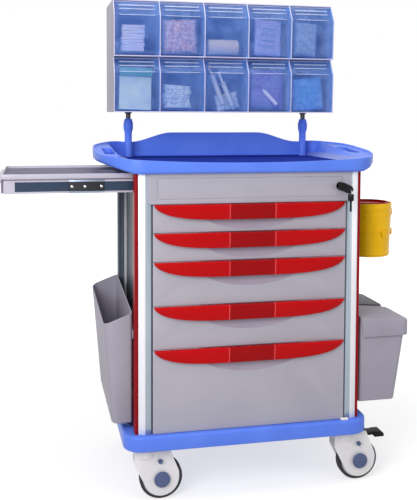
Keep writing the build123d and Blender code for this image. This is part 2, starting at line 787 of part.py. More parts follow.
def pocket_wire():
    """Wire foot between the deck and the underside of the left bin."""
    top = pocket_bottom - wire_radius
    inner = -body_half + wire_inset
    outer = -pocket_inner - pocket_foot_depth / 2
    wire = rod(wire_radius, (outer, -hanger_foot_y, top), (outer, hanger_foot_y, top))
    for y in (-hanger_foot_y, hanger_foot_y):
        wire += rod(wire_radius, (inner, y, deck_top + wire_radius), (outer, y, top))
        wire += Pos(outer, y, top) * Sphere(wire_radius)
    return wire & block(outer - 2 * wire_radius, 0, -pocket_front, pocket_back, deck_top, pocket_bottom)


def sharps_bracket():
    """Arm from the side panel with a tongue that the sharps box hangs on."""
    y0, y1 = sharps_y - sharps_lug / 2, sharps_y + sharps_lug / 2
    face = sharps_x - sharps_radius - slide_gap
    arm = block(side_outer, face, y0, y1, sharps_lug_z - sharps_lug, sharps_lug_z)
    tongue = block(face - 2 * hanger_bar, face - hanger_bar, y0, y1, sharps_lug_z, sharps_lug_z + sharps_lug)
    return arm + tongue


def waste_plan(index, width, length):
    """(x0, x1, y0, y1) of a waste bin's plan; both share one centre along the cart."""
    middle = -waste_front + waste_length / 2 + index * waste_pitch
    inner = waste_inner + slide_gap
    return (inner, inner + width, middle - length / 2, middle + length / 2)


def waste_bin(index):
    """Tapered bin, hung on the right hanger."""
    mouth = waste_plan(index, waste_width, waste_length)
    foot = waste_plan(index, waste_foot_width, waste_foot_length)
    shell = tapered(foot, mouth, waste_corner, waste_bottom, waste_rim)
    inner = tapered(inset(foot, waste_wall), inset(mouth, waste_wall), waste_corner - waste_wall,
                    waste_bottom + waste_wall, waste_rim)
    middle = (mouth[2] + mouth[3]) / 2
    return (shell - inner) + hook(waste_inner + slide_gap, middle, waste_hanger_z + hanger_height)


def waste_lid(index):
    """Sloping lid with a deep skirt, hinged on a bead along its cabinet side."""
    x0, x1, y0, y1 = waste_plan(index, waste_width, waste_length)
    left = x0 + slide_gap
    right = x1 + lid_over
    rim = waste_rim + lid_lift
    front, back = y0 - lid_over, y1 + lid_over
    lid = plate_xz([(left, rim), (left, lid_high), (right, lid_low), (right, rim)], front, back)
    skirt_left = left + lid_notch
    skirt_low = lid_low - lid_skirt
    skirt = plate_xz([(skirt_left, lid_low), (right, lid_low), (right, skirt_low), (skirt_left, skirt_low)],
                     front, back)
    lid += skirt - block(left, x1 + slide_gap, y0 - slide_gap, y1 + slide_gap, waste_bottom, lid_high)
    corners = lid.edges().filter_by(Axis.Z).filter_by(lambda e: abs(e.center().X - right) < touch)
    lid = fillet(corners, lid_over)
    lid -= plate_xz([(left + lid_notch, rim), (left + lid_notch, lid_high - 2 * lid_wall),
                     (x1 - lid_wall, lid_low - lid_wall), (x1 - lid_wall, rim)], y0 + lid_wall, y1 - lid_wall)
    x, z = lid_hinge()
    return lid + rod(lid_bead_radius, (x, front, z), (x, back, z))


def lid_hinge():
    """(x, z) of the waste lids' hinge line."""
    return waste_inner + 2 * slide_gap + lid_bead_radius, lid_high - lid_bead_radius


def sharps_cone(wall):
    """The container's tapered body, taken in by wall."""
    foot = Pos(sharps_x, sharps_y, sharps_bottom + wall) * Circle(sharps_foot_radius - wall)
    return loft([foot, Pos(sharps_x, sharps_y, sharps_shoulder - wall) * Circle(sharps_radius - wall)])


def sharps_box():
    """Round container with a half-moon drop slot in its neck and a lug on its back."""
    outer = sharps_cone(0)
    inner = sharps_cone(sharps_wall)
    neck_top = sharps_shoulder + sharps_neck
    outer += rod(sharps_neck_radius, (sharps_x, sharps_y, sharps_shoulder), (sharps_x, sharps_y, neck_top))
    box = outer - inner
    box -= drop_slot(sharps_neck_radius - sharps_slot_rim, sharps_shoulder - sharps_wall, neck_top)
    y0, y1 = sharps_y - sharps_lug / 2, sharps_y + sharps_lug / 2
    face = sharps_x - sharps_radius
    tongue = face - slide_gap - hanger_bar
    top = sharps_lug_z + sharps_lug
    lug_low = sharps_lug_z + slide_gap
    lug = block(tongue + slide_gap, sharps_x - sharps_foot_radius, y0, y1, lug_low, top + hanger_bar)
    back = tongue - hanger_bar - slide_gap
    lug += block(back - hook_metal, tongue + slide_gap, y0, y1, top + slide_gap, top + hanger_bar)
    lug += block(back - hook_metal, back, y0, y1, top - hook_drop, top + slide_gap)
    return box + (lug - outer)


def drop_slot(radius, low, high):
    """Half-moon opening, clear of the middle."""
    disc = rod(radius, (sharps_x, sharps_y, low), (sharps_x, sharps_y, high))
    y0, y1 = sharps_y - radius, sharps_y - sharps_slot
    return disc & block(sharps_x - radius, sharps_x + radius, y0, y1, low, high)


def sharps_lid():
    """Red cap that turns on the neck; its own slot lines up with the neck's when open."""
    low = sharps_shoulder + slide_gap
    high = low + sharps_lid_height
    neck_top = sharps_shoulder + sharps_neck + slide_gap
    lid = rod(sharps_lid_radius, (sharps_x, sharps_y, low), (sharps_x, sharps_y, high))
    lid -= rod(sharps_neck_radius + slide_gap, (sharps_x, sharps_y, low), (sharps_x, sharps_y, neck_top))
    lid -= rod(sharps_lid_radius - 2 * sharps_wall, (sharps_x, sharps_y, neck_top + sharps_wall),
               (sharps_x, sharps_y, high))
    return lid - drop_slot(sharps_neck_radius - sharps_slot_rim, low, high)


# ---- castors ----------------------------------------------------------------------------------------
def castor_stem(x, y):
    """Swivel pin with the plate that bolts up under the deck."""
    stem = rod(stem_head_radius, (x, y, deck_bottom - stem_head), (x, y, deck_bottom))
    return stem + rod(stem_radius, (x, y, deck_bottom - stem_head - crown_height), (x, y, deck_bottom))


def castor_yoke(x, y, braked):
    """Twin-cheek cover with its crown, axle and, when braked, the pedal's pin."""
    wheel_x = x + castor_trail
    cheek_y = hub_width / 2 + cheek_gap
    top = deck_bottom - stem_head - slide_gap
    outline = Circle(cover_radius)
    plane = Plane(origin=(wheel_x, y, wheel_radius + cover_rise), x_dir=(1, 0, 0), z_dir=(0, -1, 0))
    rise = top - wheel_radius - cover_rise
    shoulders = Polyline((-castor_trail - crown_radius, rise), (-castor_trail - crown_radius, rise / 2),
                         (yoke_brow, rise), close=True)
    profile = make_hull(outline.edges() + shoulders.edges())
    cheeks = []
    for rear_face in (-cheek_y, cheek_y + cheek_thickness):
        cheeks.append(Pos(0, rear_face, 0) * extrude(plane * profile, cheek_thickness))
    crown = rod(crown_radius, (x, y, top - crown_height), (x, y, top))
    crown += block(x, wheel_x, y - cheek_y, y + cheek_y, top - crown_height, top)
    crown -= rod(wheel_radius + wheel_clearance, (wheel_x, y - cheek_y, wheel_radius),
                 (wheel_x, y + cheek_y, wheel_radius))
    yoke = crown + cheeks[0] + cheeks[1]
    yoke += rod(axle_radius, (wheel_x, y - cheek_y, wheel_radius), (wheel_x, y + cheek_y, wheel_radius))
    if braked:
        z = deck_bottom - pedal_pin_drop
        yoke += rod(pedal_pin_radius, (x + pedal_pin_x, y - cheek_y, z), (x + pedal_pin_x, y + cheek_y, z))
    return yoke - rod(stem_radius + run_fit, (x, y, top - crown_height), (x, y, top))


def wheel(x, y):
    """Hub and tyre."""
    wheel_x = x + castor_trail
    half = wheel_width / 2
    hub_radius = wheel_radius - tyre_thickness
    hub = rod(hub_radius, (wheel_x, y - half, wheel_radius), (wheel_x, y + half, wheel_radius))
    hub += rod(2 * axle_radius, (wheel_x, y - hub_width / 2, wheel_radius),
               (wheel_x, y + hub_width / 2, wheel_radius))
    hub -= rod(axle_radius + run_fit, (wheel_x, y - hub_width / 2, wheel_radius),
               (wheel_x, y + hub_width / 2, wheel_radius))
    tyre = rod(wheel_radius, (wheel_x, y - half, wheel_radius), (wheel_x, y + half, wheel_radius))
    tyre = fillet(tyre.edges().filter_by(GeomType.CIRCLE), tyre_shoulder)
    tyre -= rod(hub_radius, (wheel_x, y - half, wheel_radius), (wheel_x, y + half, wheel_radius))
    return [hub, tyre]


def brake_pedal(x, y):
    """Arm on the yoke's pin, with the pad that is stepped on."""
    z = deck_bottom - pedal_pin_drop
    arm_half = hub_width / 2 - cheek_gap
    pin_x = x + pedal_pin_x
    pedal = rod(pedal_boss_radius, (pin_x, y - arm_half, z), (pin_x, y + arm_half, z))
    foot_x = pin_x + pedal_reach
    pedal += block(pin_x, foot_x - pedal_foot, y - arm_half, y + arm_half,
                   z - pedal_boss_radius, z + pedal_rise)
    foot = block(foot_x - pedal_foot, foot_x, y - pedal_width / 2, y + pedal_width / 2,
                 z - pedal_thickness, z + pedal_rise)
    toe = foot.edges().filter_by(Axis.Y).sort_by(lambda e: e.center().X + e.center().Z)[-1]
    pedal += chamfer(toe, pedal_boss_radius)
    return pedal - rod(pedal_pin_radius + run_fit, (pin_x, y - arm_half, z), (pin_x, y + arm_half, z))


castors = {"front_left": (-castor_x, -castor_y), "front_right": (castor_x, -castor_y),
           "rear_left": (-castor_x, castor_y), "rear_right": (castor_x, castor_y)}
braked = ("front_right", "rear_left")


# ---- write the nodes ----------------------------------------------------------------------------------
def build():
    save("base_deck", base_deck())
    save("frame", *four_corners(column()), *cross_beams())
    save("accent_strips", *four_corners(accent_strip()))
    save("cabinet_panels", *cabinet_panels())
    save("top_tray", top_tray())
    save("lock_panel", lock_panel())
    save("lock_housing", lock_housing())
    save("lock_key", lock_key())
    save("spare_key_ring", *spare_key_ring())
    save("fixed_rails", *drawer_rails(), *slide_member(2, shelf_out - shelf_travel - shelf_wall))
    for number in range(len(drawer_tops)):
        save(f"drawer_{number + 1}_box", *drawer_box(number))
        save(f"drawer_{number + 1}_front", drawer_front(number))
        save(f"drawer_{number + 1}_handle", drawer_handle(number))
    save("shelf_pan", *shelf_pan())
    save("shelf_grip", shelf_grip())
    save("shelf_mid_slides", *slide_member(1, shelf_out - shelf_travel / 2 - shelf_wall))
    save("bin_rack", bin_rack())
    for row in range(rack_rows):
        for index in range(rack_columns):
            save(f"tilt_bin_{row + 1}_{index + 1}", tilt_bin(row, index))
    save("post_sleeves", post_sleeve(), flip_x(post_sleeve()))
    save("rack_posts", rack_post(), flip_x(rack_post()))
    save("left_bin", left_bin())
    save("side_brackets", hanger(-1, pocket_inner - slide_gap, hanger_z),
         hanger(1, waste_inner, waste_hanger_z),
         pocket_wire(), sharps_bracket())
    for index, place in enumerate(("front", "rear")):
        save(f"waste_bin_{place}", waste_bin(index))
        save(f"waste_lid_{place}", waste_lid(index))
    save("sharps_box", sharps_box())
    save("sharps_lid", sharps_lid())
    save("castor_stems", *[castor_stem(x, y) for x, y in castors.values()])
    for name, (x, y) in castors.items():
        save(f"castor_{name}", castor_yoke(x, y, name in braked))
        save(f"wheel_{name}", *wheel(x, y))
        if name in braked:
            save(f"pedal_{name}", brake_pedal(x, y))


build()
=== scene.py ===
"""Crash cart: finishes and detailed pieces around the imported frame.

Metres, +X to the right, +Y to the back, +Z up. Sizes are in millimetres times MM, or in plain
millimetres where at(), rounded(), turned(), sliced() and hollowed() take them.
"""
import math
import random

import bpy
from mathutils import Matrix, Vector, noise


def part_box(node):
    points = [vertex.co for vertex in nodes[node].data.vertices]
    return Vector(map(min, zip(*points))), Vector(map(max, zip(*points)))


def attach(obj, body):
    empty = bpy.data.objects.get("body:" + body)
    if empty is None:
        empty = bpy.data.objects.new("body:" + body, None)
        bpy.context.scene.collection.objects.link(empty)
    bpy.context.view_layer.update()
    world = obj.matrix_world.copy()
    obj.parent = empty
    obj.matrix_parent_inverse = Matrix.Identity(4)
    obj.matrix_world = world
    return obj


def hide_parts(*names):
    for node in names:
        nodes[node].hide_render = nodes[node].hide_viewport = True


MM = 0.001

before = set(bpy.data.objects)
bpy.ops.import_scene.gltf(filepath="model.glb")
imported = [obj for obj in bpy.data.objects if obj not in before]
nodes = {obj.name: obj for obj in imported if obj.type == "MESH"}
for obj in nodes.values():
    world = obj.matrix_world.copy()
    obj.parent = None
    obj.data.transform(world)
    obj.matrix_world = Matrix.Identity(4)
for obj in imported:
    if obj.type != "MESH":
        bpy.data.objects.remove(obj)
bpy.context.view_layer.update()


# ---- places taken from the frame ----
def low(node):
    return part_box(node)[0]


def high(node):
    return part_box(node)[1]


def middle(node):
    return (low(node) + high(node)) / 2


centre_x = middle("drawer_1_front").x                 # the cabinet's own centre line
centre_y = middle("base_deck").y                      # and its mid-depth


def at(x, y, z):
    """A place in millimetres from the cabinet's centre line, its mid-depth and the floor."""
    return Vector((centre_x + x * MM, centre_y + y * MM, z * MM))


def cart_mm(point):
    """The same three numbers for a point in metres."""
    return (point.x - centre_x) / MM, (point.y - centre_y) / MM, point.z / MM


def off_centre(point):
    """Millimetres from the centre line, to either side."""
    return abs(cart_mm(point)[0])


# ---- camera, room and light ----
def make_camera():
    """A long lens in front of the cart, to the left and at the height of the work tray."""
    data = bpy.data.cameras.new("camera")
    camera = bpy.data.objects.new("camera", data)
    bpy.context.scene.collection.objects.link(camera)
    data.sensor_width = 36.0
    data.lens = 57.5
    data.shift_y = -0.18
    camera.location = (centre_x - 0.614, centre_y - 2.440, 1.112)
    camera.rotation_mode = "XYZ"
    camera.rotation_euler = (math.radians(90 - 3.3), math.radians(-0.23), math.radians(-12.45))
    bpy.context.scene.camera = camera


def softbox(name, place, aim, width, height, power):
    """A flat soft lamp that faces a point."""
    data = bpy.data.lights.new(name, "AREA")
    data.shape = "RECTANGLE"
    data.size = width
    data.size_y = height
    data.energy = power
    lamp = bpy.data.objects.new(name, data)
    bpy.context.scene.collection.objects.link(lamp)
    lamp.location = place
    lamp.rotation_euler = (Vector(aim) - Vector(place)).to_track_quat("-Z", "Y").to_euler()


def light_the_room():
    """Even studio light: a pale room, a large lamp in front to the left, weaker ones right and above."""
    world = bpy.data.worlds.new("room")
    bpy.context.scene.world = world
    world.use_nodes = True
    tree = world.node_tree
    tree.nodes.clear()
    seen = seen_directly(tree)
    strength = add(tree, "MapRange", Value=seen, To_Min=0.42, To_Max=1.0)
    surface = add(tree, "Background", Color=(1, 1, 1, 1), Strength=strength)
    tree.links.new(surface, add(tree, "OutputWorld", output=None).inputs["Surface"])
    aim = at(0, 0, 700)
    softbox("key", at(-1500, -2000, 1700), aim, 1.3, 1.8, 42)
    softbox("fill", at(2100, -1900, 1300), aim, 1.3, 1.8, 10)
    softbox("top", at(0, -300, 3000), aim, 2.2, 1.8, 24)


def seen_directly(tree):
    """1 where the camera, a reflection or a clear part looks straight at the surface."""
    path = add(tree, "LightPath", output=None).outputs
    shiny = add(tree, "Math", operation="MAXIMUM", _0=path["Is Camera Ray"], _1=path["Is Glossy Ray"])
    return add(tree, "Math", operation="MAXIMUM", _0=shiny, _1=path["Is Transmission Ray"])


def lay_the_floor():
    """White studio paper that keeps the cart's shadow and runs out into plain white."""
    floor = added("floor", bpy.ops.mesh.primitive_grid_add, x_subdivisions=8, y_subdivisions=8, size=40)
    material, tree, place = new_material("studio paper")
    distance = add(tree, "VectorMath", output=1, operation="LENGTH", _0=place)
    glow = add(tree, "MapRange", Value=distance, From_Min=0.9, From_Max=2.4, To_Min=0.62, To_Max=1.0)
    strength = add(tree, "Math", operation="MULTIPLY", _0=glow, _1=seen_directly(tree))
    white = add(tree, "Emission", Color=(1, 1, 1, 1), Strength=strength)
    matt = add(tree, "BsdfDiffuse", Color=(0.6, 0.59, 0.58, 1))
    finish_material(tree, add(tree, "AddShader", _0=white, _1=matt))
    floor.data.materials.append(material)


# ---- material helpers ----
def colour(code):
    """An sRGB hex colour as the linear values that a shader takes."""
    values = [int(code[i:i + 2], 16) / 255 for i in (1, 3, 5)]
    linear = [v / 12.92 if v <= 0.04045 else ((v + 0.055) / 1.055) ** 2.4 for v in values]
    return (*linear, 1.0)


def add(tree, kind, output=0, **values):
    """Adds a node and gives its output, or the node itself where output is None.

    Each value is a setting, a socket's number, or an output that is linked to that socket;
    _0 and so on are sockets by their place.
    """
    made = tree.nodes.new("ShaderNode" + kind)
    for name, value in values.items():
        if hasattr(made, name):
            setattr(made, name, value)
            continue
        socket = made.inputs[int(name[1:])] if name.startswith("_") else made.inputs[name.replace("_", " ")]
        if isinstance(value, bpy.types.NodeSocket):
            tree.links.new(value, socket)
        else:
            socket.default_value = value
    return made if output is None else made.outputs[output]


def new_material(name):
    """An empty node material, and the object coordinates that its patterns follow."""
    material = bpy.data.materials.new(name)
    material.use_nodes = True
    tree = material.node_tree
    tree.nodes.clear()
    return material, tree, add(tree, "TexCoord", output=3)


def finish_material(tree, shader):
    """Links the last shader to the material's surface."""
    tree.links.new(shader, add(tree, "OutputMaterial", output=None).inputs["Surface"])


def tinted(tree, share, base, shade, start=0.3, end=0.7):
    """The base colour, going to its shade as a pattern goes from start to end."""
    amount = add(tree, "MapRange", Value=share, From_Min=start, From_Max=end)
    return add(tree, "Mix", output=2, data_type="RGBA", Factor=amount, _6=colour(base), _7=colour(shade))


# ---- materials ----
def pattern(tree, place, size, detail, **more):
    """Noise with features of about this size in metres."""
    return add(tree, "TexNoise", Vector=place, Scale=1 / size, Detail=detail, **more)


def spread(tree, share, least, most):
    """The middle of a pattern's range, spread from the least value to the most."""
    return add(tree, "MapRange", Value=share, From_Min=0.3, From_Max=0.7, To_Min=least, To_Max=most)


def surfaced(material, height, depth, strength=1.0, **values):
    """Ends a material in one principled shader, with a pattern of this depth as its bump."""
    tree = material.node_tree
    bump = add(tree, "Bump", Height=height, Distance=depth, Strength=strength)
    finish_material(tree, add(tree, "BsdfPrincipled", Normal=bump, **values))
    return material


def moulded(name, base, shade, rough=0.38, grain=0.9 * MM, depth=0.012 * MM, cloud=90 * MM, shine=0.3):
    """Moulded ABS or polypropylene: fine spark grain from the mould, soft flow clouds, handled patches."""
    material, tree, place = new_material(name)
    handled = pattern(tree, place, 28 * MM, 5.0, Roughness=0.6)
    return surfaced(
        material, pattern(tree, place, grain, 2.0), depth, IOR=1.5, Specular_IOR_Level=shine,
        Base_Color=tinted(tree, pattern(tree, place, cloud, 4.0), base, shade, 0.35, 0.68),
        Roughness=spread(tree, handled, rough - 0.03, rough + 0.05))


def anodised(name, base, shade, metal, groove):
    """Extruded, satin-anodised aluminium: faint die lines along its length, a milky reflection."""
    material, tree, place = new_material(name)
    along = add(tree, "Mapping", Vector=place, Scale=(1, 1, 1 / 600))
    lines = pattern(tree, along, 1.1 * MM, 3.0)
    return surfaced(
        material, lines, groove, Metallic=metal, Roughness=spread(tree, lines, 0.24, 0.36),
        Base_Color=tinted(tree, pattern(tree, place, 160 * MM, 3.0), base, shade))


def plated(name, base, shade, rough, patch, depth=0.002 * MM):
    """Plated or polished metal: bright, with a faint cloud of handling or zinc spangle."""
    material, tree, place = new_material(name)
    patches = pattern(tree, place, patch, 4.0, Roughness=0.6)
    return surfaced(
        material, patches, depth, Metallic=1.0, Base_Color=tinted(tree, patches, base, shade),
        Roughness=spread(tree, patches, rough * 0.8, rough * 1.3))


def powder_coat(name, base, shade, rough=0.42, shine=0.3):
    """Baked powder coat on sheet steel: a close orange-peel skin, satin."""
    material, tree, place = new_material(name)
    skin = pattern(tree, place, 1.6 * MM, 2.0)
    return surfaced(
        material, skin, 0.03 * MM, IOR=1.5, Specular_IOR_Level=shine,
        Base_Color=tinted(tree, pattern(tree, place, 120 * MM, 3.0), base, shade),
        Roughness=spread(tree, skin, rough - 0.05, rough + 0.08))


def clear_plastic(name, base, shade, alpha):
    """Clear tinted polystyrene: glossy faces, a wave in the thickness and fine wiping marks."""
    material, tree, place = new_material(name)
    wave = pattern(tree, place, 34 * MM, 2.0)
    marks = pattern(tree, place, 6 * MM, 5.0, Roughness=0.7)
    return surfaced(
        material, wave, 0.25 * MM, Base_Color=tinted(tree, wave, base, shade), IOR=1.58,
        Roughness=spread(tree, marks, 0.06, 0.18), Alpha=spread(tree, wave, alpha - 0.05, alpha + 0.07))


def rubber(name, base, shade):
    """Tyre rubber: matt black, a little dust in the grain."""
    material, tree, place = new_material(name)
    dust = pattern(tree, place, 3 * MM, 6.0, Roughness=0.7)
    return surfaced(material, dust, 0.06 * MM, Roughness=0.72, IOR=1.5,
                    Base_Color=tinted(tree, dust, base, shade, 0.45, 0.8))


def cotton(name, base, shade, pitch=2.2 * MM):
    """Folded gauze: an open weave of soft threads, drawn coarser than the real 1 mm so that it shows."""
    material, tree, place = new_material(name)
    threads = [add(tree, "TexWave", output=1, Vector=place, wave_type="BANDS", bands_direction=direction,
                   Scale=0.314 / pitch, Distortion=1.5, Detail=1.0) for direction in ("X", "Z")]
    weave = add(tree, "Math", operation="MULTIPLY", _0=threads[0], _1=threads[1])
    return surfaced(material, weave, 0.3 * MM, Roughness=0.95, Sheen_Weight=0.3,
                    Base_Color=tinted(tree, weave, shade, base, 0.0, 0.6))


def film(name, base, shade, fold=13 * MM):
    """Crinkled packing film over soft contents: sharp little folds that catch the light."""
    material, tree, place = new_material(name)
    folds = add(tree, "TexVoronoi", Vector=place, feature="DISTANCE_TO_EDGE", Scale=1 / fold)
    crinkle = pattern(tree, place, 9 * MM, 5.0, Roughness=0.65)
    height = add(tree, "Math", operation="ADD", _0=folds, _1=crinkle)
    return surfaced(material, height, 2.2 * MM, strength=0.6, Roughness=0.22,
                    Base_Color=tinted(tree, crinkle, base, shade, 0.38, 0.62))


def paper(name, base, shade):
    """Coated carton or paper: nearly flat, a faint fibre cloud."""
    material, tree, place = new_material(name)
    fibre = pattern(tree, place, 2.5 * MM, 5.0)
    return surfaced(material, fibre, 0.03 * MM, Base_Color=tinted(tree, fibre, base, shade), Roughness=0.55)


blue_abs = moulded("moulded blue ABS", "#6288F4", "#5B81EE", rough=0.36, shine=0.2)
# Painted reflection: the tray floor is darkened to stand for the guard's dark reflection in it
tray_floor_painted_reflection = moulded("pebbled blue tray floor, darkened as a painted reflection", "#2C3D9C", "#283792", rough=0.5, shine=0.0,
                     grain=1.6 * MM, depth=0.03 * MM)
# Painted sheen: the ramps are lighter and greyer to stand for the sheen of light on them
tray_ramp_painted_sheen = moulded("blue ramp with a painted sheen", "#8496DC", "#7A8CD4", rough=0.4, shine=0.15)
red_abs = moulded("gloss red ABS", "#C00A10", "#B8090F", rough=0.26, depth=0, cloud=160 * MM, shine=0.09)
red_window = moulded("thin red ABS", "#A0090E", "#98080D", rough=0.26, depth=0, cloud=160 * MM, shine=0.09)
# Painted highlight: pale red along each rib stands for its highlight
red_rib_painted_highlight = moulded("painted highlight on a red rib", "#DA4A50", "#D24248", rough=0.2, depth=0, cloud=30 * MM)
red_trim = moulded("red co-extruded strip", "#930D17", "#8A0C15", rough=0.36, shine=0.1)
grey_abs = moulded("grained grey ABS", "#B1AEBA", "#ACA9B6", rough=0.5, depth=0.015 * MM, cloud=160 * MM)
# Painted shade: a darker grey for the finger scoop under each handle
scoop_painted_shade = moulded("grey ABS with painted shade in the finger scoop", "#A89DAF", "#A297A9", rough=0.5, depth=0.015 * MM)
liner_abs = moulded("pale drawer liner ABS", "#C9C9D2", "#BDBDC8", rough=0.45)
grey_bin = moulded("grey polypropylene", "#A7A3B2", "#A09CAA", rough=0.5, cloud=140 * MM, shine=0.2)
charcoal_bin = moulded("charcoal polypropylene", "#4A4450", "#443E4A", rough=0.44)
rack_abs = moulded("pale lavender ABS", "#D3D0EE", "#CCC8E8", rough=0.36, shine=0.2)
# Painted light: the rack's inside is painted brighter and bluer than its lavender ABS, for the light coming
# through the clear bins
rack_inside_painted_glow = moulded("lavender ABS seen through the bins", "#9CCFFF", "#8CC2FF", rough=0.4, shine=0.1)
rack_side = moulded("grey rack side", "#A7A4B2", "#9F9CAB", rough=0.42)
castor_white = moulded("white nylon", "#F0EEF0", "#EAE8EB", rough=0.3, depth=0, cloud=60 * MM)
cap_slate = moulded("slate cap", "#54628A", "#4E5B80", rough=0.38)
black_plastic = moulded("black nylon", "#0B0B0E", "#101013", rough=0.4, shine=0.15)
sharps_yellow = moulded("yellow polypropylene", "#FFC800", "#F8BF00", rough=0.3, cloud=60 * MM, shine=0.2)
sharps_red = moulded("red polypropylene", "#A8140E", "#9A110C", rough=0.32, shine=0.12)
wheel_grey = moulded("grey wheel nylon", "#BFC0C6", "#B0B1B8", rough=0.4)
slate_panel = powder_coat("slate powder coat", "#4C5562", "#454D59")
shelf_dark = powder_coat("dark shelf coat", "#8C8998", "#827F8F", rough=0.5, shine=0.0)
# the pale coat is also painted on the slides' top and bottom edges as a painted highlight
shelf_pale_and_slide_highlight = powder_coat("pale shelf coat, also a painted highlight on the slides", "#C6C2D0", "#BBB7C6", rough=0.34)
aluminium = anodised("anodised aluminium", "#A0ABB6", "#98A3AF", 0.7, 0.006 * MM)
# Painted highlight: near-white aluminium stands for a lamp's highlight on the columns
aluminium_painted_highlight = anodised("aluminium with a painted highlight", "#EFEEF4", "#E8E8EF", 0.15, 0.002 * MM)
# Painted shade: dark slate on the rear columns and strips, and on the front columns' edge beside the drawers
slate_painted_shade = powder_coat("slate painted as shade", "#5B6474", "#535C6B")
chrome = plated("polished chrome", "#D8D8DC", "#C6C6CC", 0.08, 40 * MM)
# Painted reflection: chrome with a dark base colour, standing for the dark surroundings that it reflects
chrome_painted_dark_reflection = plated("chrome darkened as a painted dark reflection", "#3A3A42", "#2B2B32", 0.14, 40 * MM)
zinc = plated("zinc plate", "#8C97AC", "#7A8498", 0.3, 9 * MM, 0.01 * MM)
# Painted shade: dark blue in the slides' channel stands for its shade
slide_channel_painted_shade = powder_coat("slide steel with painted shade in its dark blue channel", "#2E3F58", "#26354B", rough=0.3)
slide_black = powder_coat("black slide steel", "#14171C", "#1B1E23", rough=0.3)
tyre_rubber = rubber("tyre rubber", "#1C1C20", "#333338")
bin_clear = clear_plastic("clear blue polystyrene", "#6898FF", "#7CA8FF", 0.19)
# Painted highlight: the ribs and brim on each bin's brow are near white and less clear, for the highlights on
# them
bin_ridge_painted_highlight = clear_plastic("clear blue rib with a painted highlight", "#E2EBFD", "#D2DEFA", 0.4)


# ---- modelling helpers ----
def take(piece):
    """Makes one piece the only selected one."""
    bpy.ops.object.select_all(action="DESELECT")
    piece.select_set(True)
    bpy.context.view_layer.objects.active = piece


def added(name, operator, **options):
    """A new piece from one of Blender's own shapes, as the only selected one."""
    bpy.ops.object.select_all(action="DESELECT")
    operator(**options)
    piece = bpy.context.object
    piece.name = name
    return piece


def pick(piece, kind, test):
    """Enters edit mode with the faces, edges or points picked by their middle and direction."""
    take(piece)
    bpy.ops.object.mode_set(mode="EDIT")
    bpy.ops.mesh.select_mode(type=kind)
    bpy.ops.mesh.select_all(action="DESELECT")
    bpy.ops.object.mode_set(mode="OBJECT")
    mesh = piece.data
    if kind == "FACE":
        for face in mesh.polygons:
            face.select = bool(test(face.center, face.normal))
    elif kind == "EDGE":
        for edge in mesh.edges:
            start, end = (mesh.vertices[i].co for i in edge.vertices)
            edge.select = bool(test((start + end) / 2, (end - start).normalized()))
    else:
        for point in mesh.vertices:
            point.select = bool(test(point.co, point.normal))
    bpy.ops.object.mode_set(mode="EDIT")


def done():
    bpy.ops.object.mode_set(mode="OBJECT")


def everything(*_):
    return True


def settle(piece):
    """Puts a piece's place into its mesh."""
    take(piece)
    bpy.ops.object.transform_apply(location=True, rotation=True, scale=True)
    return piece


def start_box(name, corner, far):
    """A box between two corners, to shape further."""
    corner, far = Vector(corner), Vector(far)
    piece = added(name, bpy.ops.mesh.primitive_cube_add, size=1, location=(corner + far) / 2)
    piece.scale = [abs(side) for side in far - corner]
    return settle(piece)


def outline(name, points, fill=True):
    """A closed outline through the points, filled or open."""
    piece = added(name, bpy.ops.mesh.primitive_circle_add, vertices=len(points), radius=1,
                  fill_type="NGON" if fill else "NOTHING")
    for vertex, point in zip(piece.data.vertices, points):
        vertex.co = point
    return piece


def outward(piece):
    """Merges doubles and turns every face outwards."""
    pick(piece, "FACE", everything)
    bpy.ops.mesh.remove_doubles(threshold=0.01 * MM)
    bpy.ops.mesh.normals_make_consistent(inside=False)
    done()
    return piece


def extruded(name, points, along):
    """A plate: the outline of the points, made solid along a vector."""
    piece = outline(name, points)
    pick(piece, "FACE", everything)
    bpy.ops.mesh.extrude_region_move(TRANSFORM_OT_translate={"value": tuple(along)})
    done()
    return outward(piece)


def turned(name, profile, centre=(0, 0, 0), axis="Z", steps=48):
    """A ring or knob: a closed outline of (radius, height) points, spun about an axis."""
    piece = outline(name, [(radius * MM, 0, height * MM) for radius, height in profile], fill=False)
    pick(piece, "VERT", everything)
    bpy.ops.mesh.spin(steps=steps, angle=math.tau, center=(0, 0, 0), axis=(0, 0, 1))
    done()
    outward(piece)
    if axis == "Y":
        piece.rotation_euler.x = math.radians(-90)
    elif axis == "X":
        piece.rotation_euler.y = math.radians(90)
    piece.location = centre
    return settle(piece)


def modifier(piece, kind, **settings):
    """Adds a modifier with its settings and applies it."""
    take(piece)
    made = piece.modifiers.new(kind.lower(), kind)
    for name, value in settings.items():
        setattr(made, name, value)
    bpy.ops.object.modifier_apply(modifier=made.name)
    return piece


def eased(piece, width, segments=3, angle=32):
    """Rounds every edge sharper than the angle, then shades the piece smooth."""
    modifier(piece, "BEVEL", width=width, segments=segments, limit_method="ANGLE",
             angle_limit=math.radians(angle), use_clamp_overlap=True, miter_outer="MITER_ARC")
    return smooth(piece)


def smooth(piece, angle=38):
    """Shades a piece smooth, with edges sharper than the angle left crisp."""
    take(piece)
    bpy.ops.object.shade_smooth_by_angle(angle=math.radians(angle))
    return piece


def cut(piece, cutter):
    """Takes the cutter's shape out of the piece."""
    modifier(piece, "BOOLEAN", operation="DIFFERENCE", object=cutter, solver="EXACT")
    bpy.data.objects.remove(cutter)
    return piece


def joined(name, *pieces):
    """Several solids as one piece."""
    bpy.ops.object.select_all(action="DESELECT")
    for piece in pieces:
        piece.select_set(True)
    bpy.context.view_layer.objects.active = pieces[0]
    if len(pieces) > 1:
        bpy.ops.object.join()
    pieces[0].name = name
    return pieces[0]


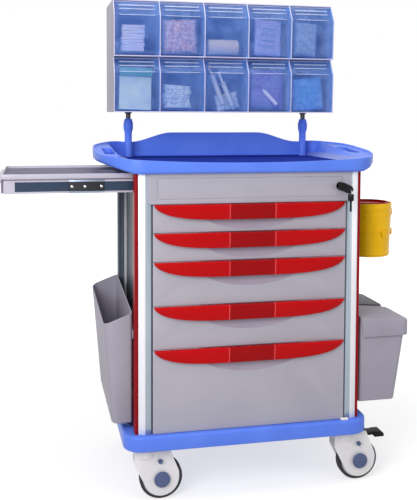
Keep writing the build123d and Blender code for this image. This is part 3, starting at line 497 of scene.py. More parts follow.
def reshape(piece, rule):
    """Moves every point of a piece by a rule."""
    for vertex in piece.data.vertices:
        vertex.co = rule(vertex.co.copy())
    piece.data.update()
    return piece


def from_frame(node, width=0.8 * MM, segments=2):
    """A copy of a CAD node's mesh with its triangles merged and its edges rounded."""
    piece = nodes[node].copy()
    piece.data = nodes[node].data.copy()
    for key in list(piece.keys()):
        del piece[key]
    piece.parent = None
    bpy.context.scene.collection.objects.link(piece)
    piece.name = node + "_finished"
    piece.data.materials.clear()
    pick(piece, "FACE", everything)
    bpy.ops.mesh.customdata_custom_splitnormals_clear()
    bpy.ops.mesh.remove_doubles(threshold=0.005 * MM)
    bpy.ops.mesh.dissolve_limited(angle_limit=math.radians(1.5))
    done()
    return eased(piece, width, segments)


def rounded(corners, spacing, steps):
    """Points round a polygon, no further apart than the spacing; each corner is (x, y, radius)."""
    points = []
    count = len(corners)
    for index, (x, y, radius) in enumerate(corners):
        here = Vector((x, y))
        before = (Vector(corners[index - 1][:2]) - here).normalized()
        after = (Vector(corners[(index + 1) % count][:2]) - here).normalized()
        half = before.angle(after) / 2
        reach = radius / math.tan(half)
        centre = here + (before + after).normalized() * (radius / math.sin(half))
        first = here + before * reach - centre
        turn = (math.pi - 2 * half) * (1 if before.x * after.y - before.y * after.x < 0 else -1)
        for step in range(steps + 1):
            angle = turn * step / steps
            points.append((centre.x + first.x * math.cos(angle) - first.y * math.sin(angle),
                           centre.y + first.x * math.sin(angle) + first.y * math.cos(angle)))
    dense = []
    for index, point in enumerate(points):
        following = points[(index + 1) % len(points)]
        length = math.dist(point, following)
        pieces = max(1, int(length / spacing))
        for part in range(pieces):
            share = part / pieces
            dense.append([a + (b - a) * share for a, b in zip(point, following)])
    return dense


def rounded_box(x0, x1, y0, y1, z, inner, outer, spacing=1000, steps=8):
    """Points round a rectangle on the cart; its corners have one radius at x0 and another at x1."""
    ring = [(x0, y0, inner), (x1, y0, outer), (x1, y1, outer), (x0, y1, inner)]
    if x1 < x0:
        ring.reverse()
    return [at(x, y, z) for x, y in rounded(ring, spacing, steps)]


def keep(piece, material, body, node=None):
    """Gives a finished piece its material and body, and hides the CAD node that it stands for."""
    if material is not None:
        piece.data.materials.clear()
        piece.data.materials.append(material)
    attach(piece, body)
    if node:
        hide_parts(node)
    return piece


def paint(piece, *choices):
    """Gives faces a material by a test; the first (material, None) is for the rest."""
    piece.data.materials.clear()
    for material, _ in choices:
        piece.data.materials.append(material)
    for face in piece.data.polygons:
        for index, (_, test) in enumerate(choices):
            if test is not None and test(face.center, face.normal):
                face.material_index = index
                break
        else:
            face.material_index = 0
    return piece


def round_edges(piece, width, test, segments=4):
    """Rounds the edges picked by their middle and direction."""
    pick(piece, "EDGE", test)
    bpy.ops.mesh.bevel(offset=width, segments=segments, affect="EDGES", clamp_overlap=False)
    done()


def hollowed(piece, wall, depth, side=1):
    """Sinks the top face, or the bottom face where side is -1, inside a wall of one thickness."""
    pick(piece, "FACE", lambda c, n: n.z * side > 0.99)
    bpy.ops.mesh.inset(thickness=wall * MM)
    bpy.ops.mesh.extrude_region_move(TRANSFORM_OT_translate={"value": (0, 0, -side * depth * MM)})
    done()


def sliced(piece, axis, *places):
    """Cuts flat seams through a piece at places along an axis, to paint or bend it by."""
    across = {"X": (1, 0, 0), "Y": (0, 1, 0), "Z": (0, 0, 1)}[axis]
    for place in places:
        pick(piece, "FACE", everything)
        bpy.ops.mesh.bisect(plane_co=at(place, place, place), plane_no=across)
        done()
    return piece


def near(value, target, slack=0.2 * MM):
    return abs(value - target) < slack


def finished(node, material, body, width=0.8 * MM, segments=2):
    """A CAD node's own shape with rounded edges and its real finish."""
    return keep(from_frame(node, width, segments), material, body, node)


# ---- base deck and castors ----
def make_deck():
    """Moulded deck: a wide tray turned over, with soft edges and a hollow underside."""
    lowest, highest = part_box("base_deck")
    x0, y0, bottom = cart_mm(lowest)
    x1, y1, top = cart_mm(highest)
    plan = rounded_box(x0, x1, y0, y1, bottom, 56, 56, spacing=12.1)
    deck = extruded("deck", plan, (0, 0, (top - bottom) * MM))
    round_edges(deck, 8 * MM, lambda c, d: near(c.z, highest.z) and abs(d.z) < 0.1, 5)
    round_edges(deck, 4 * MM, lambda c, d: near(c.z, lowest.z) and abs(d.z) < 0.1, 3)
    hollowed(deck, 3, 34, -1)
    pad = [(0, 192), (36, 192), (36, 160.2), (35, 159.2), (0, 159.2)]
    pads = [turned("pad", pad, at(x, y, 0)) for x in (-303, 303) for y in (-200, 200)]
    keep(joined("deck", smooth(deck), *pads), blue_abs, "cart", "base_deck")


def make_castor(corner):
    """White twin cheeks with a slate cap over the axle and a screw above it."""
    node = f"castor_{corner}"
    lowest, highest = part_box(node)
    yoke = from_frame(node, 2.4 * MM, 4)
    axle = middle(f"wheel_{corner}")

    def tuck(point):
        """Draws the round ends of the cheeks in, so that the tyre shows all round them."""
        share = ramp(axle.z + 40 * MM - point.z, 0, 40 * MM)
        inward = Vector((axle.x - 2 * MM, point.y, axle.z + 2 * MM)) - point
        return point + inward * 0.1 * share

    reshape(yoke, tuck)
    caps = []
    for side, face in ((-1, lowest.y), (1, highest.y)):
        cap = turned("cap", [(0, -3), (0, 1.6), (18, 1.6), (21.5, 1.0), (23, -0.4), (23, -3)], axis="Y")
        screw = turned("screw", [(0, -3), (0, 0.2), (2.4, 0.2), (3.4, 1.0), (6.4, 1.0), (7, 0.2), (7, -3)],
                       (-5 * MM, 0, 54 * MM), "Y", 32)
        both = joined("caps", cap, screw)
        reshape(both, lambda p: Vector((p.x, side * p.y, p.z)))
        outward(both)
        both.location = (axle.x, face, axle.z + 2 * MM)
        caps.append(settle(both))
    keep(smooth(joined(node + "_caps", *caps)), cap_slate, node)
    keep(yoke, castor_white, node, node)


def make_wheel(corner):
    """A grey hub and a rounded black tyre."""
    node = f"wheel_{corner}"
    centre = middle(node)
    radius, half = 62.5, 16
    tread = [(53.4, -half), (radius - 7, -half), (radius - 2.5, -half + 2.5), (radius, -half + 7)]
    tyre = smooth(turned("tyre", there_and_back(tread), centre, "Y", 72), 50)
    dish = [(6, -17.5), (12, -17.5), (13, -11), (42, -9), (46, -15.5), (53.2, -15.5)]
    hub = eased(turned("hub", there_and_back(dish), centre, "Y", 72), 0.8 * MM, 2)
    tyre.data.materials.append(tyre_rubber)
    hub.data.materials.append(wheel_grey)
    keep(joined(node + "_turned", tyre, hub), None, node, node)


def there_and_back(profile):
    """Half a profile and its mirror image on the other side of height 0."""
    return profile + [(radius, -height) for radius, height in reversed(profile)]


# ---- cabinet ----
column_inner, column_outer, column_back = 288.6, 326.9, 196.2


def make_columns():
    """Four extruded columns: a nearly flat face that rolls back towards the outside."""
    bottom, top = 203.3, 944.7
    highlight_limit = 317                                # a rear column has a painted highlight up to here, then slate painted as shade
    section = [(column_inner, -column_back)]
    for step in range(13):
        share = step / 12
        section.append((column_inner + (column_outer - column_inner) * share,
                        -241 + 6 * share ** 2.4 + 1.2 * (1 - share) ** 14))
    section.append((column_outer, -column_back))
    for sign_x, hand in ((-1, "left"), (1, "right")):
        for sign_y, end in ((-1, "rear"), (1, "front")):
            column = extruded("column", [at(sign_x * x, sign_y * y, bottom) for x, y in section],
                              (0, 0, (top - bottom) * MM))
            eased(column, 0.6 * MM, 2, 50)
            if end == "rear":
                # rear columns: slate painted as shade, with a painted highlight on the inner part of the face
                sliced(column, "X", sign_x * highlight_limit)
                paint(column, (slate_painted_shade, None),
                      (aluminium_painted_highlight, lambda c, n: off_centre(c) < highlight_limit))
            else:
                # front columns: painted shade along the inner edge beside the drawers, a painted highlight on
                # the outer faces
                paint(column, (aluminium, None),
                      (slate_painted_shade, lambda c, n: off_centre(c) < column_inner + 4),
                      (aluminium_painted_highlight, lambda c, n: off_centre(c) > 309 and abs(n.y) > 0.5))
            keep(column, None, "cart").name = f"column_{hand}_{end}"


def make_cabinet():
    """Columns and the sheet-metal parts between them, with red strips down the sides."""
    make_columns()
    beams = keep(from_frame("frame", 0.5 * MM, 1), zinc, "cart", "frame")
    # the columns are modelled above: only the beams of this node stay
    pick(beams, "VERT", lambda p, n: column_inner - 0.2 < off_centre(p) < column_outer + 0.3
         and abs(cart_mm(p)[1]) > column_back - 0.3)
    bpy.ops.mesh.delete(type="VERT")
    done()
    strips = finished("accent_strips", red_trim, "cart", 1.2 * MM, 3)
    # the rear strips are painted slate as shade
    paint(strips, (red_trim, None), (slate_painted_shade, lambda c, n: c.y > centre_y))
    finished("cabinet_panels", slate_panel, "cart", 0.8 * MM)
    finished("fixed_rails", zinc, "cart", 0.3 * MM, 1)
    finished("side_brackets", zinc, "cart", 0.8 * MM)
    finished("castor_stems", zinc, "cart", 0.6 * MM)
    foot = start_box("deck_clip", at(276, -254, 202.6), at(300, -243.4, 209))
    keep(eased(foot, 2 * MM, 3), castor_white, "cart")


# ---- work tray ----
front_half, wing_half = 352, 432                      # half widths at the front corners and the wings
floor_level = 970
ramp_foot, ramp_top = 320, 356                        # where the floor's ramps to the wings start and end


def ramp(value, start, end):
    """0 before start, 1 after end, straight between."""
    return min(1.0, max(0.0, (value - start) / (end - start)))


def blend(value, start, end):
    """0 before start, 1 after end, smooth between."""
    share = ramp(value, start, end)
    return share * share * (3 - 2 * share)


def rim_height(x, y):
    """Height of the tray's rim: low in front, rising along the wings, with a raised guard behind."""
    across = min(abs(x), front_half) / front_half
    front = 975 + 11 * across ** 2
    behind = 1020 - 3 * blend(abs(x), 340, 300) if abs(x) > 290 else 1049 - 32 * blend(abs(x), 150, 292)
    if y < -120:
        return front + (994 - front) * ramp(y, -245, -120)
    if y < 110:
        return 994 + 20 * ramp(y, -120, 110)
    return 1014 + (behind - 1014) * ramp(y, 110, 225)


def make_tray():
    """One moulding: dished floor, a ramp up to each wing, a hand slot, a low front lip, a tall guard."""
    corners = [(-front_half, -262, 84), (front_half, -262, 84), (wing_half, -120, 300), (wing_half, 110, 300),
               (front_half, 246, 84), (-front_half, 246, 84), (-wing_half, 110, 300), (-wing_half, -120, 300)]
    bottom = 945
    tray = extruded("tray", [at(x, y, bottom) for x, y in rounded(corners, 14, 10)], (0, 0, 104 * MM))
    hollowed(tray, 5, 79)
    round_edges(tray, 11 * MM, lambda c, d: near(c.z, floor_level * MM), 5)
    round_edges(tray, 8 * MM, lambda c, d: near(c.z, bottom * MM), 4)
    sliced(tray, "X", -370, -ramp_top, -337, -ramp_foot, ramp_foot, 337, ramp_top, 370)
    sliced(tray, "Y", -200, -120, -5, 110, 180)

    def mould(point):
        x, y, z = cart_mm(point)
        deck = floor_level + 12 * ramp(abs(x), ramp_foot, ramp_top)
        rim = rim_height(x, y)
        deck += max(0, rim - 6 - deck) * ramp(abs(x), ramp_top, 370)
        if z > 1000:
            return at(x, y, rim)
        if z > floor_level - 0.5:
            rise = (z - floor_level) / 11
            return at(x, y, deck + rise * min(11, 0.75 * (rim - deck)))
        return at(x, y, z + 27 * ramp(abs(x), 337, wing_half))

    reshape(tray, mould)
    slot_x, slot_y, slot_half = 388, -5, 70
    for x in (-slot_x, slot_x):
        ring = rounded_box(x - 16, x + 16, slot_y - slot_half, slot_y + slot_half, 930, 16, 16, 200, 9)
        cut(tray, extruded("slot", ring, (0, 0, 90 * MM)))
    outward(tray)
    eased(tray, 1.9 * MM, 3, 42)
    smooth(tray, 36)
    # the floor is darkened as a painted reflection; the ramps are lighter as a painted sheen
    paint(tray, (blue_abs, None),
          (tray_floor_painted_reflection, lambda c, n: n.z > 0.99 and near(c.z, floor_level * MM, 1 * MM)),
          (tray_ramp_painted_sheen, lambda c, n: n.z > 0.8 and ramp_foot - 1 < off_centre(c) < ramp_top + 1
           and floor_level - 2 < cart_mm(c)[2] < floor_level + 13))
    keep(tray, None, "cart", "top_tray")


def make_posts():
    """Blue sleeves with a waisted clamping collar, and the chrome rods that carry the rack, darkened as a
    painted dark reflection.
    """
    collar = [(8.2, 966), (13.5, 966), (13.5, 972), (12, 974), (12, 1046), (12.6, 1052), (15.2, 1060),
              (16, 1066), (16, 1078), (15, 1084), (13.4, 1088), (13, 1090), (13, 1093), (11, 1095),
              (8.2, 1095)]
    rod = [(0, 966), (8, 966), (8, 1112), (11.4, 1112.6), (12, 1114), (12, 1117), (0, 1117)]
    for side, x in (("left", -303), ("right", 303)):
        sleeve = turned("sleeve", collar, at(x, 200, 0))
        keep(smooth(sleeve, 50), blue_abs, "cart").name = "sleeve_" + side
        post = turned("post", rod, at(x, 200, 0))
        keep(smooth(post, 50), chrome_painted_dark_reflection, "cart").name = "post_" + side
    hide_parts("post_sleeves")
    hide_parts("rack_posts")


# ---- lock ----
def make_lock():
    """Lock panel, housing and key, and the spare key that hangs from it."""
    finished("lock_panel", grey_abs, "cart", 1.6 * MM, 3)
    # the lock housing's chrome is darkened the same way
    finished("lock_housing", chrome_painted_dark_reflection, "cart", 0.6 * MM)
    finished("lock_key", black_plastic, "lock_key", 1.4 * MM, 3)
    spare = from_frame("spare_key_ring", 0.5 * MM, 2)
    paint(spare, (black_plastic, None), (chrome, lambda c, n: c.z > high("spare_key_ring").z - 12 * MM))
    keep(spare, None, "spare_key", "spare_key_ring")


# ---- drawers ----
handle_half = 283
handle_drop = 44
handle_reach = 15.6
face_y = -243                                         # the drawers' flat faces
window_half = 68                                      # the thin middle of a handle, between its ribs
scoop_half = 166


def belly(across):
    """Drop of the handle's lower edge below its top, from its middle (0) to an end (1)."""
    return 0.8 + (handle_drop - 0.8) * max(0.0, 1 - abs(across) ** 4) ** 0.55


def handle_skin(name, x_start, x_end, columns, top, proud=0.0):
    """A sheet that goes out from the drawer's face, over a rounded brow and down to a curled lip."""
    skin = added(name, bpy.ops.mesh.primitive_grid_add, x_subdivisions=columns, y_subdivisions=16, size=2)

    def place(point):
        x = x_start + (x_end - x_start) * (math.sin(point.x * math.pi / 2) + 1) / 2
        share = (point.y + 1) / 2
        drop = belly(x / handle_half)
        reach = handle_reach * (1 - 0.55 * abs(x / handle_half) ** 9) - 1.2
        brow = min(5.5, 0.42 * drop)
        if share < 0.2:
            out, down = (reach - brow) * share / 0.2, 0.0
        elif share < 0.5:
            turn = (share - 0.2) / 0.3 * math.pi / 2
            out, down = reach - brow + brow * math.sin(turn), brow - brow * math.cos(turn)
        else:
            fall = (share - 0.5) / 0.5
            out, down = reach - 3.4 * fall ** 2.2, brow + (drop - brow) * fall
        out += proud * min(1, share * 5)
        return at(x, face_y - out, top - down - 0.6)

    reshape(skin, place)
    outward_open(skin)
    return skin


def outward_open(piece):
    """Faces of an open front sheet, turned to the front."""
    pick(piece, "FACE", everything)
    bpy.ops.mesh.normals_make_consistent(inside=False)
    done()
    forward = sum(face.normal.y * face.area for face in piece.data.polygons)
    if forward > 0:
        pick(piece, "FACE", everything)
        bpy.ops.mesh.flip_normals()
        done()


def make_drawer(number):
    body = f"drawer_{number}"
    lowest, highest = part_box(body + "_front")
    front = start_box(body + "_panel", lowest, highest)
    dish = added("dish", bpy.ops.mesh.primitive_uv_sphere_add, segments=96, ring_count=48, radius=1)
    dish.location = (middle(body + "_front").x, lowest.y - 5 * MM, highest.z - 13 * MM)
    dish.scale = (scoop_half * MM, 17 * MM, 64 * MM)
    settle(dish)
    cut(front, dish)
    eased(front, 1.8 * MM, 3, 50)
    # the finger scoop's faces get painted shade over the real dish
    paint(smooth(front, 30), (grey_abs, None),
          (scoop_painted_shade, lambda c, n: lowest.y + 0.3 * MM < c.y < lowest.y + 13 * MM and n.y < -0.2
           and off_centre(c) < scoop_half and c.z > highest.z - 80 * MM))
    keep(front, None, body, body + "_front")
    top = highest.z / MM
    skin = handle_skin("skin", -handle_half, handle_half, 96, top)
    modifier(skin, "SOLIDIFY", thickness=2.4 * MM, offset=-1)
    paint(skin, (red_abs, None), (red_window, lambda c, n: off_centre(c) < window_half))
    ribs = []
    # each rib is painted pale red as a painted highlight
    for x in (-window_half, window_half):
        rib = handle_skin("rib", x - 1.3, x + 1.3, 3, top, 0.9)
        modifier(rib, "SOLIDIFY", thickness=2.0 * MM, offset=-1)
        rib.data.materials.append(red_rib_painted_highlight)
        ribs.append(rib)
    pull = joined(body + "_pull", skin, *ribs)
    modifier(pull, "BEVEL", width=0.7 * MM, segments=2, limit_method="ANGLE", angle_limit=math.radians(50))
    keep(smooth(pull, 40), None, body, body + "_handle")
    box = from_frame(body + "_box", 0.6 * MM, 1)
    edge = (low(body + "_box").x + 10.2 * MM, high(body + "_box").x - 10.2 * MM)
    paint(box, (liner_abs, None), (zinc, lambda c, n: c.x < edge[0] or c.x > edge[1]))
    keep(box, None, body, body + "_box")


# ---- pull-out shelf ----
def make_shelf():
    """Coated pan, dark on top with pale flanges; telescopic slides under its front and back edges."""
    top = high("shelf_pan").z
    low_edge, high_edge = 894.3, 921.3
    pan_end, slide_end = -662, -415

    def on_slide(c):
        return 176.5 < abs(cart_mm(c)[1]) < 187 and c.z < 927 * MM

    def between(c):
        return low_edge < cart_mm(c)[2] < high_edge

    pan = sliced(from_frame("shelf_pan", 1.2 * MM, 2), "Z", low_edge, high_edge)
    sliced(pan, "X", pan_end)
    # the band beside the slide gets the slide channel's painted shade
    paint(pan, (shelf_pale_and_slide_highlight, None),
          (shelf_dark, lambda c, n: n.z > 0.6 and top - 12 * MM < c.z < top - 3 * MM),
          (slide_channel_painted_shade, lambda c, n: on_slide(c) and between(c) and cart_mm(c)[0] > pan_end))
    keep(pan, None, "shelf", "shelf_pan")
    finished("shelf_grip", shelf_pale_and_slide_highlight, "shelf", 1.2 * MM, 3)
    slides = sliced(from_frame("shelf_mid_slides", 0.4 * MM, 2), "Z", low_edge, high_edge)
    sliced(slides, "X", slide_end)
    # on the slides: the channel painted dark blue as shade, its top and bottom edges pale as painted
    # highlights
    paint(slides, (slide_black, None),
          (slide_channel_painted_shade, lambda c, n: cart_mm(c)[0] > slide_end and between(c)),
          (shelf_pale_and_slide_highlight, lambda c, n: cart_mm(c)[0] > slide_end),
          (zinc, lambda c, n: not between(c)))
    screws = []
    for x in (-506, -470, -424):
        screw = turned("screw", [(0, 0), (3.4, 0), (3.4, 0.06), (3.2, 0.18), (0, 0.18)], axis="Y", steps=20)
        reshape(screw, lambda q: Vector((q.x, -q.y, q.z)))
        outward(screw)
        screw.location = at(x, -185.7, 907.8)
        settle(screw).data.materials.append(chrome)
        screws.append(smooth(screw, 40))
    keep(joined("mid_slides", slides, *screws), None, "shelf_slides", "shelf_mid_slides")


# ---- rack and its tilt bins ----
first_bin_x, bin_pitch = -359.4, 144.6
lower_floor, row_height = 1117, 177


def make_rack():
    """The rack's carcass: grey ends, and an inside painted light blue as the glow of light that comes through
    the clear bins.
    """
    rack = from_frame("bin_rack", 0.9 * MM, 2)
    lowest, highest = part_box("bin_rack")
    left, right, back = lowest.x, highest.x, highest.y
    # the back wall, dividers and floors inside get the painted glow
    paint(rack, (rack_abs, None),
          (rack_side, lambda c, n: abs(n.x) > 0.7 and (near(c.x, left, 1 * MM) or near(c.x, right, 1 * MM))),
          (rack_inside_painted_glow, lambda c, n: n.y < -0.9 and back - 8 * MM < c.y < back - 1 * MM),
          (rack_inside_painted_glow, lambda c, n: abs(n.x) > 0.9 and left + 2 * MM < c.x < right - 2 * MM),
          (rack_inside_painted_glow, lambda c, n: n.z > 0.9 and c.z < highest.z - 9 * MM))
    keep(rack, None, "cart", "bin_rack")


def bin_place(row, column, x, y, z):
    """A place on the cart; x is measured from a bin's left wall and z from its row's floor."""
    return at(first_bin_x + (column - 1) * bin_pitch + x, y, lower_floor + (row - 1) * row_height + z)


def make_bins():
    """Ten equal clear bins, each with ribs and a label ledge moulded on its sloping brow."""
    for row in (1, 2):
        for column in range(1, 6):
            name = f"tilt_bin_{row}_{column}"
            shell = from_frame(name, 0.5 * MM, 2)
            ridges = []
            for share, tall in ((0.22, 4.5), (0.5, 3.5), (0.94, 2.4)):
                y, z = 96 - 31 * share, row_height - 6 - 46 * share
                ridge = start_box("ridge", bin_place(row, column, 14, y - 1.9, z - tall),
                                  bin_place(row, column, 126, y + 1.2, z))
                crest = bin_place(row, column, 0, 0, z).z
                reshape(ridge, lambda p: p + Vector((0, 0.674 * (p.z - crest), 0)))
                ridges.append(eased(ridge, 0.7 * MM, 2))
            brim = start_box("brim", bin_place(row, column, 1, 93.6, row_height - 8.5),
                             bin_place(row, column, 139.4, 99, row_height - 6))
            ridges.append(eased(brim, 0.8 * MM, 2))
            shell.data.materials.append(bin_clear)
            # the ribs and brim get the painted highlight
            for ridge in ridges:
                ridge.data.materials.append(bin_ridge_painted_highlight)
            keep(joined(name + "_shell", shell, *ridges), None, name, name)


# ---- supplies in the bins ----
def pillow(name, centre, size, lean=0.0, turn=0.0, crease=3.0, seed=1, rim=0.35):
    """A soft packet: fat in the middle, thin at its sealed rim, with creases that run in from the rim."""
    piece = added(name, bpy.ops.mesh.primitive_cube_add, size=2)
    pick(piece, "FACE", everything)
    bpy.ops.mesh.subdivide(number_cuts=22)
    done()
    width, depth, height = (side / 2 for side in size)

    def puff(p):
        u, v = p.x, p.z
        swell = ((1 - abs(u) ** 5) * (1 - abs(v) ** 5)) ** 0.5
        wrinkle = noise.noise(Vector((u * 3.1 + seed * 7, v * 3.7, p.y + seed)))
        fine = noise.noise(Vector((u * 8.0, v * 7.0 + seed * 3, 5 + p.y)))
        wave = 0.6 * wrinkle + 0.4 * fine
        thick = depth * (rim * 0.3 + swell * (1 - rim * 0.3)) + crease * wave * (0.25 + swell)
        edge_wave = 1 + 0.05 * noise.noise(Vector((u * 2.3, v * 2.3, seed)))
        x, y, z = width * u * edge_wave, p.y * max(0.6, thick), height * v * edge_wave
        return Vector((x, y, z)) * MM

    reshape(piece, puff)
    piece.rotation_euler = (math.radians(lean), math.radians(turn), 0)
    piece.location = centre
    settle(piece)
    return smooth(piece, 60)


def flat_box(name, centre, size, lean=0.0, turn=0.0, edge=1.2):
    width, depth, height = (side / 2 for side in size)
    piece = start_box(name, (-width * MM, -depth * MM, -height * MM), (width * MM, depth * MM, height * MM))
    eased(piece, edge * MM, 3)
    piece.rotation_euler = (math.radians(lean), math.radians(turn), 0)
    piece.location = centre
    return settle(piece)


gauze_white = cotton("white gauze", "#EDEBF6", "#C3C2DC")
gauze_cream = cotton("cream crepe bandage", "#E4DDD6", "#B9AFAE", 2.6 * MM)
swab_pink = film("pink swabs in clear film", "#D2BBC9", "#9D7486", fold=9 * MM)
film_pale = film("clear film over white pads", "#DDE7EE", "#9DB4C6", fold=10 * MM)
film_lilac = film("lilac paper-backed film", "#A9ABDC", "#8C90CC")
film_slate = film("grey-blue film", "#92A9C4", "#6F8AAE")
film_purple = film("purple film bag", "#8075C6", "#5C54A6")
film_cyan = film("blue film bag", "#4FA3E0", "#2E79C8")
green_card = paper("green card", "#23948A", "#1F877E")
pale_card = paper("pale green card", "#D6E7D8", "#C8DCCD")
warm_card = paper("warm tinted card", "#DDB9A5", "#D2AC98")
teal_ink = paper("teal print", "#3A8F9A", "#31818C")
syringe_clear = clear_plastic("clear polypropylene barrel", "#DCE2F2", "#C6CFE6", 0.72)
white_nylon = moulded("white tube", "#EDEDF4", "#DFDFE8", rough=0.3)
dark_rubber = rubber("plunger rubber", "#16161A", "#24242A")


def load_piece(piece, material, row, column):
    """A supply that lies in a bin and tilts with it."""
    keep(piece, material, f"tilt_bin_{row}_{column}")
    return piece


def syringe(name, centre, turn, length):
    """Barrel with finger flange, plunger with a black stopper, and a luer tip, pointing down."""
    half, radius = length / 2, 8.5
    barrel = turned("barrel", [
        (1.4, -half), (2.2, -half), (2.4, -half + 10), (radius - 1, -half + 12), (radius, -half + 14),
        (radius, half - 40), (radius + 5, half - 39), (radius + 5, half - 37), (radius - 1.2, half - 37),
        (radius - 1.2, -half + 15), (1.4, -half + 11)], steps=32)
    barrel.data.materials.append(syringe_clear)
    rod = turned("plunger", [
        (0, half - 66), (3.0, half - 66), (3.0, half - 3), (radius + 1, half - 2), (radius + 1, half),
        (0, half)], steps=24)
    rod.data.materials.append(white_nylon)
    stopper = turned("stopper", [
        (0, half - 78), (radius - 3, half - 76), (radius - 1.4, half - 74), (radius - 2.4, half - 71),
        (radius - 1.4, half - 68), (radius - 2.4, half - 65), (0, half - 65)], steps=24)
    stopper.data.materials.append(dark_rubber)
    piece = joined(name, barrel, rod, stopper)
    piece.rotation_euler = (math.radians(-14), math.radians(turn), 0)
    piece.location = centre
    return smooth(settle(piece), 40)


def fill_bins():
    """Generic, unprinted supplies, one kind to each bin."""
    random.seed(4)
    pads = []
    for layer in range(9):
        place = bin_place(2, 1, 60 + random.uniform(-2, 2), 112 + random.uniform(-1, 1), 20 + layer * 9.2)
        turn = random.uniform(-2.5, 2.5)
        pads.append(pillow("pad", place, (72, 40, 9.6), turn=turn, crease=0.5, seed=layer, rim=2.6))
    load_piece(joined("gauze_stack", *pads), gauze_white, 2, 1)
    packs = []
    for layer in range(5):
        place = bin_place(1, 2, 58 + random.uniform(-3, 3), 104, 22 + layer * 14)
        turn = random.uniform(-5, 5)
        packs.append(pillow("pack", place, (88, 34, 17), turn=turn, crease=1.6, seed=20 + layer, rim=1.6))
    load_piece(joined("gauze_packs", *packs), film_pale, 1, 2)
    for row, column, name, place, size, lean, turn, crease, seed, material, fill in (
            (2, 2, "swab_bag", (66, 101, 66), (112, 36, 108), -4, -2, 4.5, 3, swab_pink, 0.5),
            (2, 4, "flat_pack", (70, 100, 68), (92, 20, 118), -6, 3, 1.6, 9, film_lilac, 0.3),
            (2, 5, "slate_pack", (56, 102, 66), (78, 30, 112), -5, 4, 3.4, 12, film_slate, 0.4),
            (1, 3, "syringe_pack", (82, 118, 36), (76, 22, 56), -6, -12, 3.0, 31, film_pale, 0.3),
            (1, 4, "purple_bag", (68, 110, 78), (120, 34, 128), -5, 3, 5.5, 41, film_purple, 0.4),
            (1, 5, "blue_bag", (64, 104, 62), (108, 38, 108), -5, -4, 6.0, 52, film_cyan, 0.5)):
        packet = pillow(name, bin_place(row, column, *place), size, lean, turn, crease, seed)
        load_piece(packet, material, row, column)
    for step in range(4):
        place = bin_place(2, 4, 74 - step * 2, 88.4 - step * 0.9, 96 - step * 19)
        bar = flat_box(f"pack_bar_{step + 1}", place, (52 - step * 3, 1.2, 2.2), -6, 3, 0.4)
        load_piece(bar, teal_ink, 2, 4)
    for name, place, size, turn, edge, material in (
            ("carton", (66, 98, 73), (102, 20, 134), 2, 1.4, pale_card),
            ("carton_band", (68, 93.2, 126), (104, 21.6, 26), 2, 1.2, green_card),
            ("carton_patch", (62, 88.6, 50), (34, 1.6, 24), -28, 0.5, warm_card)):
        load_piece(flat_box(name, bin_place(1, 1, *place), size, -8, turn, edge), material, 1, 1)
    roll = turned("bandage_roll", [
        (4, -50), (9, -51), (10, -49.6), (15, -51), (16, -49.8), (21, -50.6), (23.5, -48), (24, -44),
        (24.2, 0), (24, 44), (23.5, 48), (21, 50.6), (16, 49.8), (15, 51), (10, 49.6), (9, 51), (4, 50)],
        bin_place(2, 3, 64, 106, 35), "X")
    load_piece(smooth(roll, 50), gauze_cream, 2, 3)
    load_piece(syringe("syringe_left", bin_place(1, 3, 44, 108, 84), -18, 150), None, 1, 3)
    load_piece(syringe("syringe_right", bin_place(1, 3, 76, 101, 70), -20, 132), None, 1, 3)
    tube = turned("white_tube", [(0, -32), (5.5, -32), (6.5, -30), (6.5, 24), (4.2, 28), (4.2, 34), (0, 34)],
                  steps=24)
    tube.rotation_euler = (math.radians(-10), math.radians(-42), 0)
    tube.location = bin_place(1, 4, 76, 88, 50)
    load_piece(smooth(settle(tube), 50), white_nylon, 1, 4)


# ---- side bins, waste and sharps ----
def tub(name, plan, foot, corner, low_z, high_z, wall, rim=None):
    """A tapered open tub with rounded corners; plan and foot are (x0, x1, y0, y1) at its mouth and bottom."""
    x0, x1, y0, y1 = plan
    inner, outer = corner
    height = high_z - low_z
    shell = extruded(name, rounded_box(x0, x1, y0, y1, low_z, inner, outer), (0, 0, height * MM))
    hollowed(shell, wall, height - wall)
    round_edges(shell, 5 * MM, lambda c, d: near(c.z, low_z * MM), 3)
    middle_y = (y0 + y1) / 2

    def shape(point):
        x, y, z = cart_mm(point)
        if rim is not None and z > high_z - 3:
            z = rim(x, y)
        share = (z - low_z) / height
        wide = (abs(foot[1] - foot[0]) * (1 - share) + abs(x1 - x0) * share) / abs(x1 - x0)
        long = ((foot[3] - foot[2]) * (1 - share) + (y1 - y0) * share) / (y1 - y0)
        return at(x0 + (x - x0) * wide, middle_y + (y - middle_y) * long, z)

    reshape(shell, shape)
    outward(shell)
    return smooth(eased(shell, 1.2 * MM, 3, 42), 42)


def hooks(sign, wall, places, bar_top):
    """Moulded hooks on a bin's back, over its hanger's bar."""
    made = []
    for y in places:
        for inner, outer, low_z, high_z in ((11.6, 0, 0.3, 3.3), (11.6, 8.6, -11.7, 3.3)):
            piece = start_box("hook", at(sign * (wall - inner), y - 15, bar_top + low_z),
                              at(sign * (wall - outer), y + 15, bar_top + high_z))
            made.append(eased(piece, 0.6 * MM, 2))
    return made


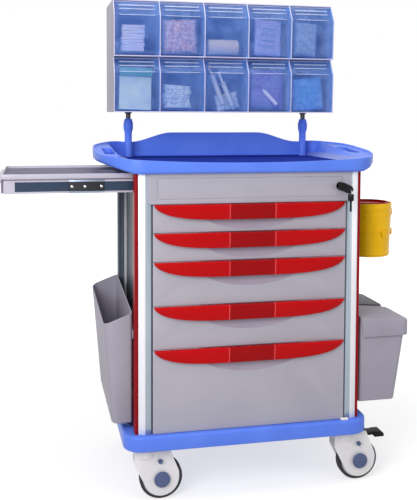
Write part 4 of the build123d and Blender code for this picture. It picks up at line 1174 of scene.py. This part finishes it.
def make_side_bins():
    """Open pocket with a raked rim on the left; two lidded waste bins on the right."""
    wall, mouth, front, back = -339.5, -427, -205, 209

    def rake(x, y):
        """The rim falls to the front and away from the cabinet."""
        return 546 + 31 * (y - front) / (back - front) - 32 * (wall - x) / (wall - mouth)

    pocket = tub("pocket", (wall, mouth, front, back), (wall, -397.5, -197, 201), (9, 24), 224, 577, 3, rake)
    keep(joined("left_pocket", pocket, *hooks(-1, -wall, (-100, 100), 496)), grey_bin, "left_bin",
         "left_bin")
    near_wall = 345.3
    for y0, place, material, slot in ((-230, "front", grey_bin, "bin_grey"),
                                      (-40, "rear", charcoal_bin, "bin_charcoal")):
        foot = (near_wall, near_wall + 119, y0 + 12, y0 + 152)
        body = tub("bin", (near_wall, near_wall + 151, y0, y0 + 164), foot, (10, 18), 242, 486, 3)
        keep(joined(f"waste_tub_{place}", body, *hooks(1, near_wall, (y0 + 82,), 444)), material,
             f"waste_bin_{place}", f"waste_bin_{place}")
        keep(waste_cover(f"waste_cover_{place}", y0), material, f"waste_lid_{place}",
             f"waste_lid_{place}")


def waste_cover(name, y0):
    """A lid that slopes away from the cabinet, with round shoulders and a deep skirt."""
    x0, x1, front, back = 345.6, 502.3, y0 - 6, y0 + 170
    lid = extruded(name, rounded_box(x0, x1, front, back, 445, 6, 24, steps=10), (0, 0, 59 * MM))
    round_edges(lid, 4 * MM, lambda c, d: near(c.z, 504 * MM), 4)
    hollowed(lid, 2.6, 46, -1)
    sliced(lid, "X", x0 + 5)

    def slope(point):
        x, y, z = cart_mm(point)
        fall = 13 * (x - x0) / (x1 - x0)
        if x < x0 + 4.9 and z < 450:
            return at(x, y, 487)
        return at(x, y, z - fall * ramp(z, 470, 490))

    reshape(lid, slope)
    outward(lid)
    bead = turned("bead", [(0, front), (3.2, front), (3.5, front + 0.5), (3.5, back - 0.5), (3.2, back),
                           (0, back)], steps=24)
    reshape(bead, lambda q: Vector((q.x, q.z, -q.y)))
    outward(bead)
    bead.location = at(349.1, 0, 500.5)
    return joined(name, smooth(eased(lid, 0.9 * MM, 2, 45), 42), smooth(settle(bead), 40))


def make_sharps():
    """Blown yellow tub with a collar, a waist seam and side clips, and a recessed red cap."""
    body = from_frame("sharps_box", 1.5 * MM, 3)
    centre = at(435, -60, 0)
    extras = []
    for z, outer, tall in ((833, 75.4, 24), (797, 75.3, 4), (748, 74.0, 6), (676, 70.8, 5)):
        ring = [(outer - 4, z - tall), (outer - 0.4, z - tall), (outer, z - tall + 1), (outer, z - 1),
                (outer - 0.4, z), (outer - 4, z)]
        extras.append(eased(turned("ring", ring, centre, steps=72), 0.5 * MM, 2))
    for angle, z in ((-8, 742), (-8, 806), (-70, 742)):
        clip = start_box("clip", (72 * MM, -9 * MM, (z - 13) * MM), (78.5 * MM, 9 * MM, (z + 7) * MM))
        eased(clip, 1.6 * MM, 3)
        clip.rotation_euler.z = math.radians(angle)
        clip.location = centre
        extras.append(settle(clip))
    keep(joined("sharps_tub", body, *extras), sharps_yellow, "sharps_box", "sharps_box")
    lid = finished("sharps_lid", sharps_red, "sharps_lid", 1.6 * MM, 3)
    paint(lid, (sharps_red, None),
          (sharps_yellow, lambda c, n: math.hypot(c.x - centre.x, c.y - centre.y) > 66 * MM))


def make_running_gear():
    """Four castors with their wheels, and the two brake pedals."""
    for corner in ("front_left", "front_right", "rear_left", "rear_right"):
        make_castor(corner)
        make_wheel(corner)
    for corner in ("front_right", "rear_left"):
        finished(f"pedal_{corner}", black_plastic, f"pedal_{corner}", 2.2 * MM, 3)


# ---- the cart ----
def build():
    """The whole cart, in its room."""
    bpy.context.scene.view_settings.view_transform = "Standard"
    make_camera()
    light_the_room()
    lay_the_floor()
    make_deck()
    make_running_gear()
    make_cabinet()
    make_tray()
    make_posts()
    make_lock()
    for number in range(1, 6):
        make_drawer(number)
    make_shelf()
    make_rack()
    make_bins()
    fill_bins()
    make_side_bins()
    make_sharps()


build()
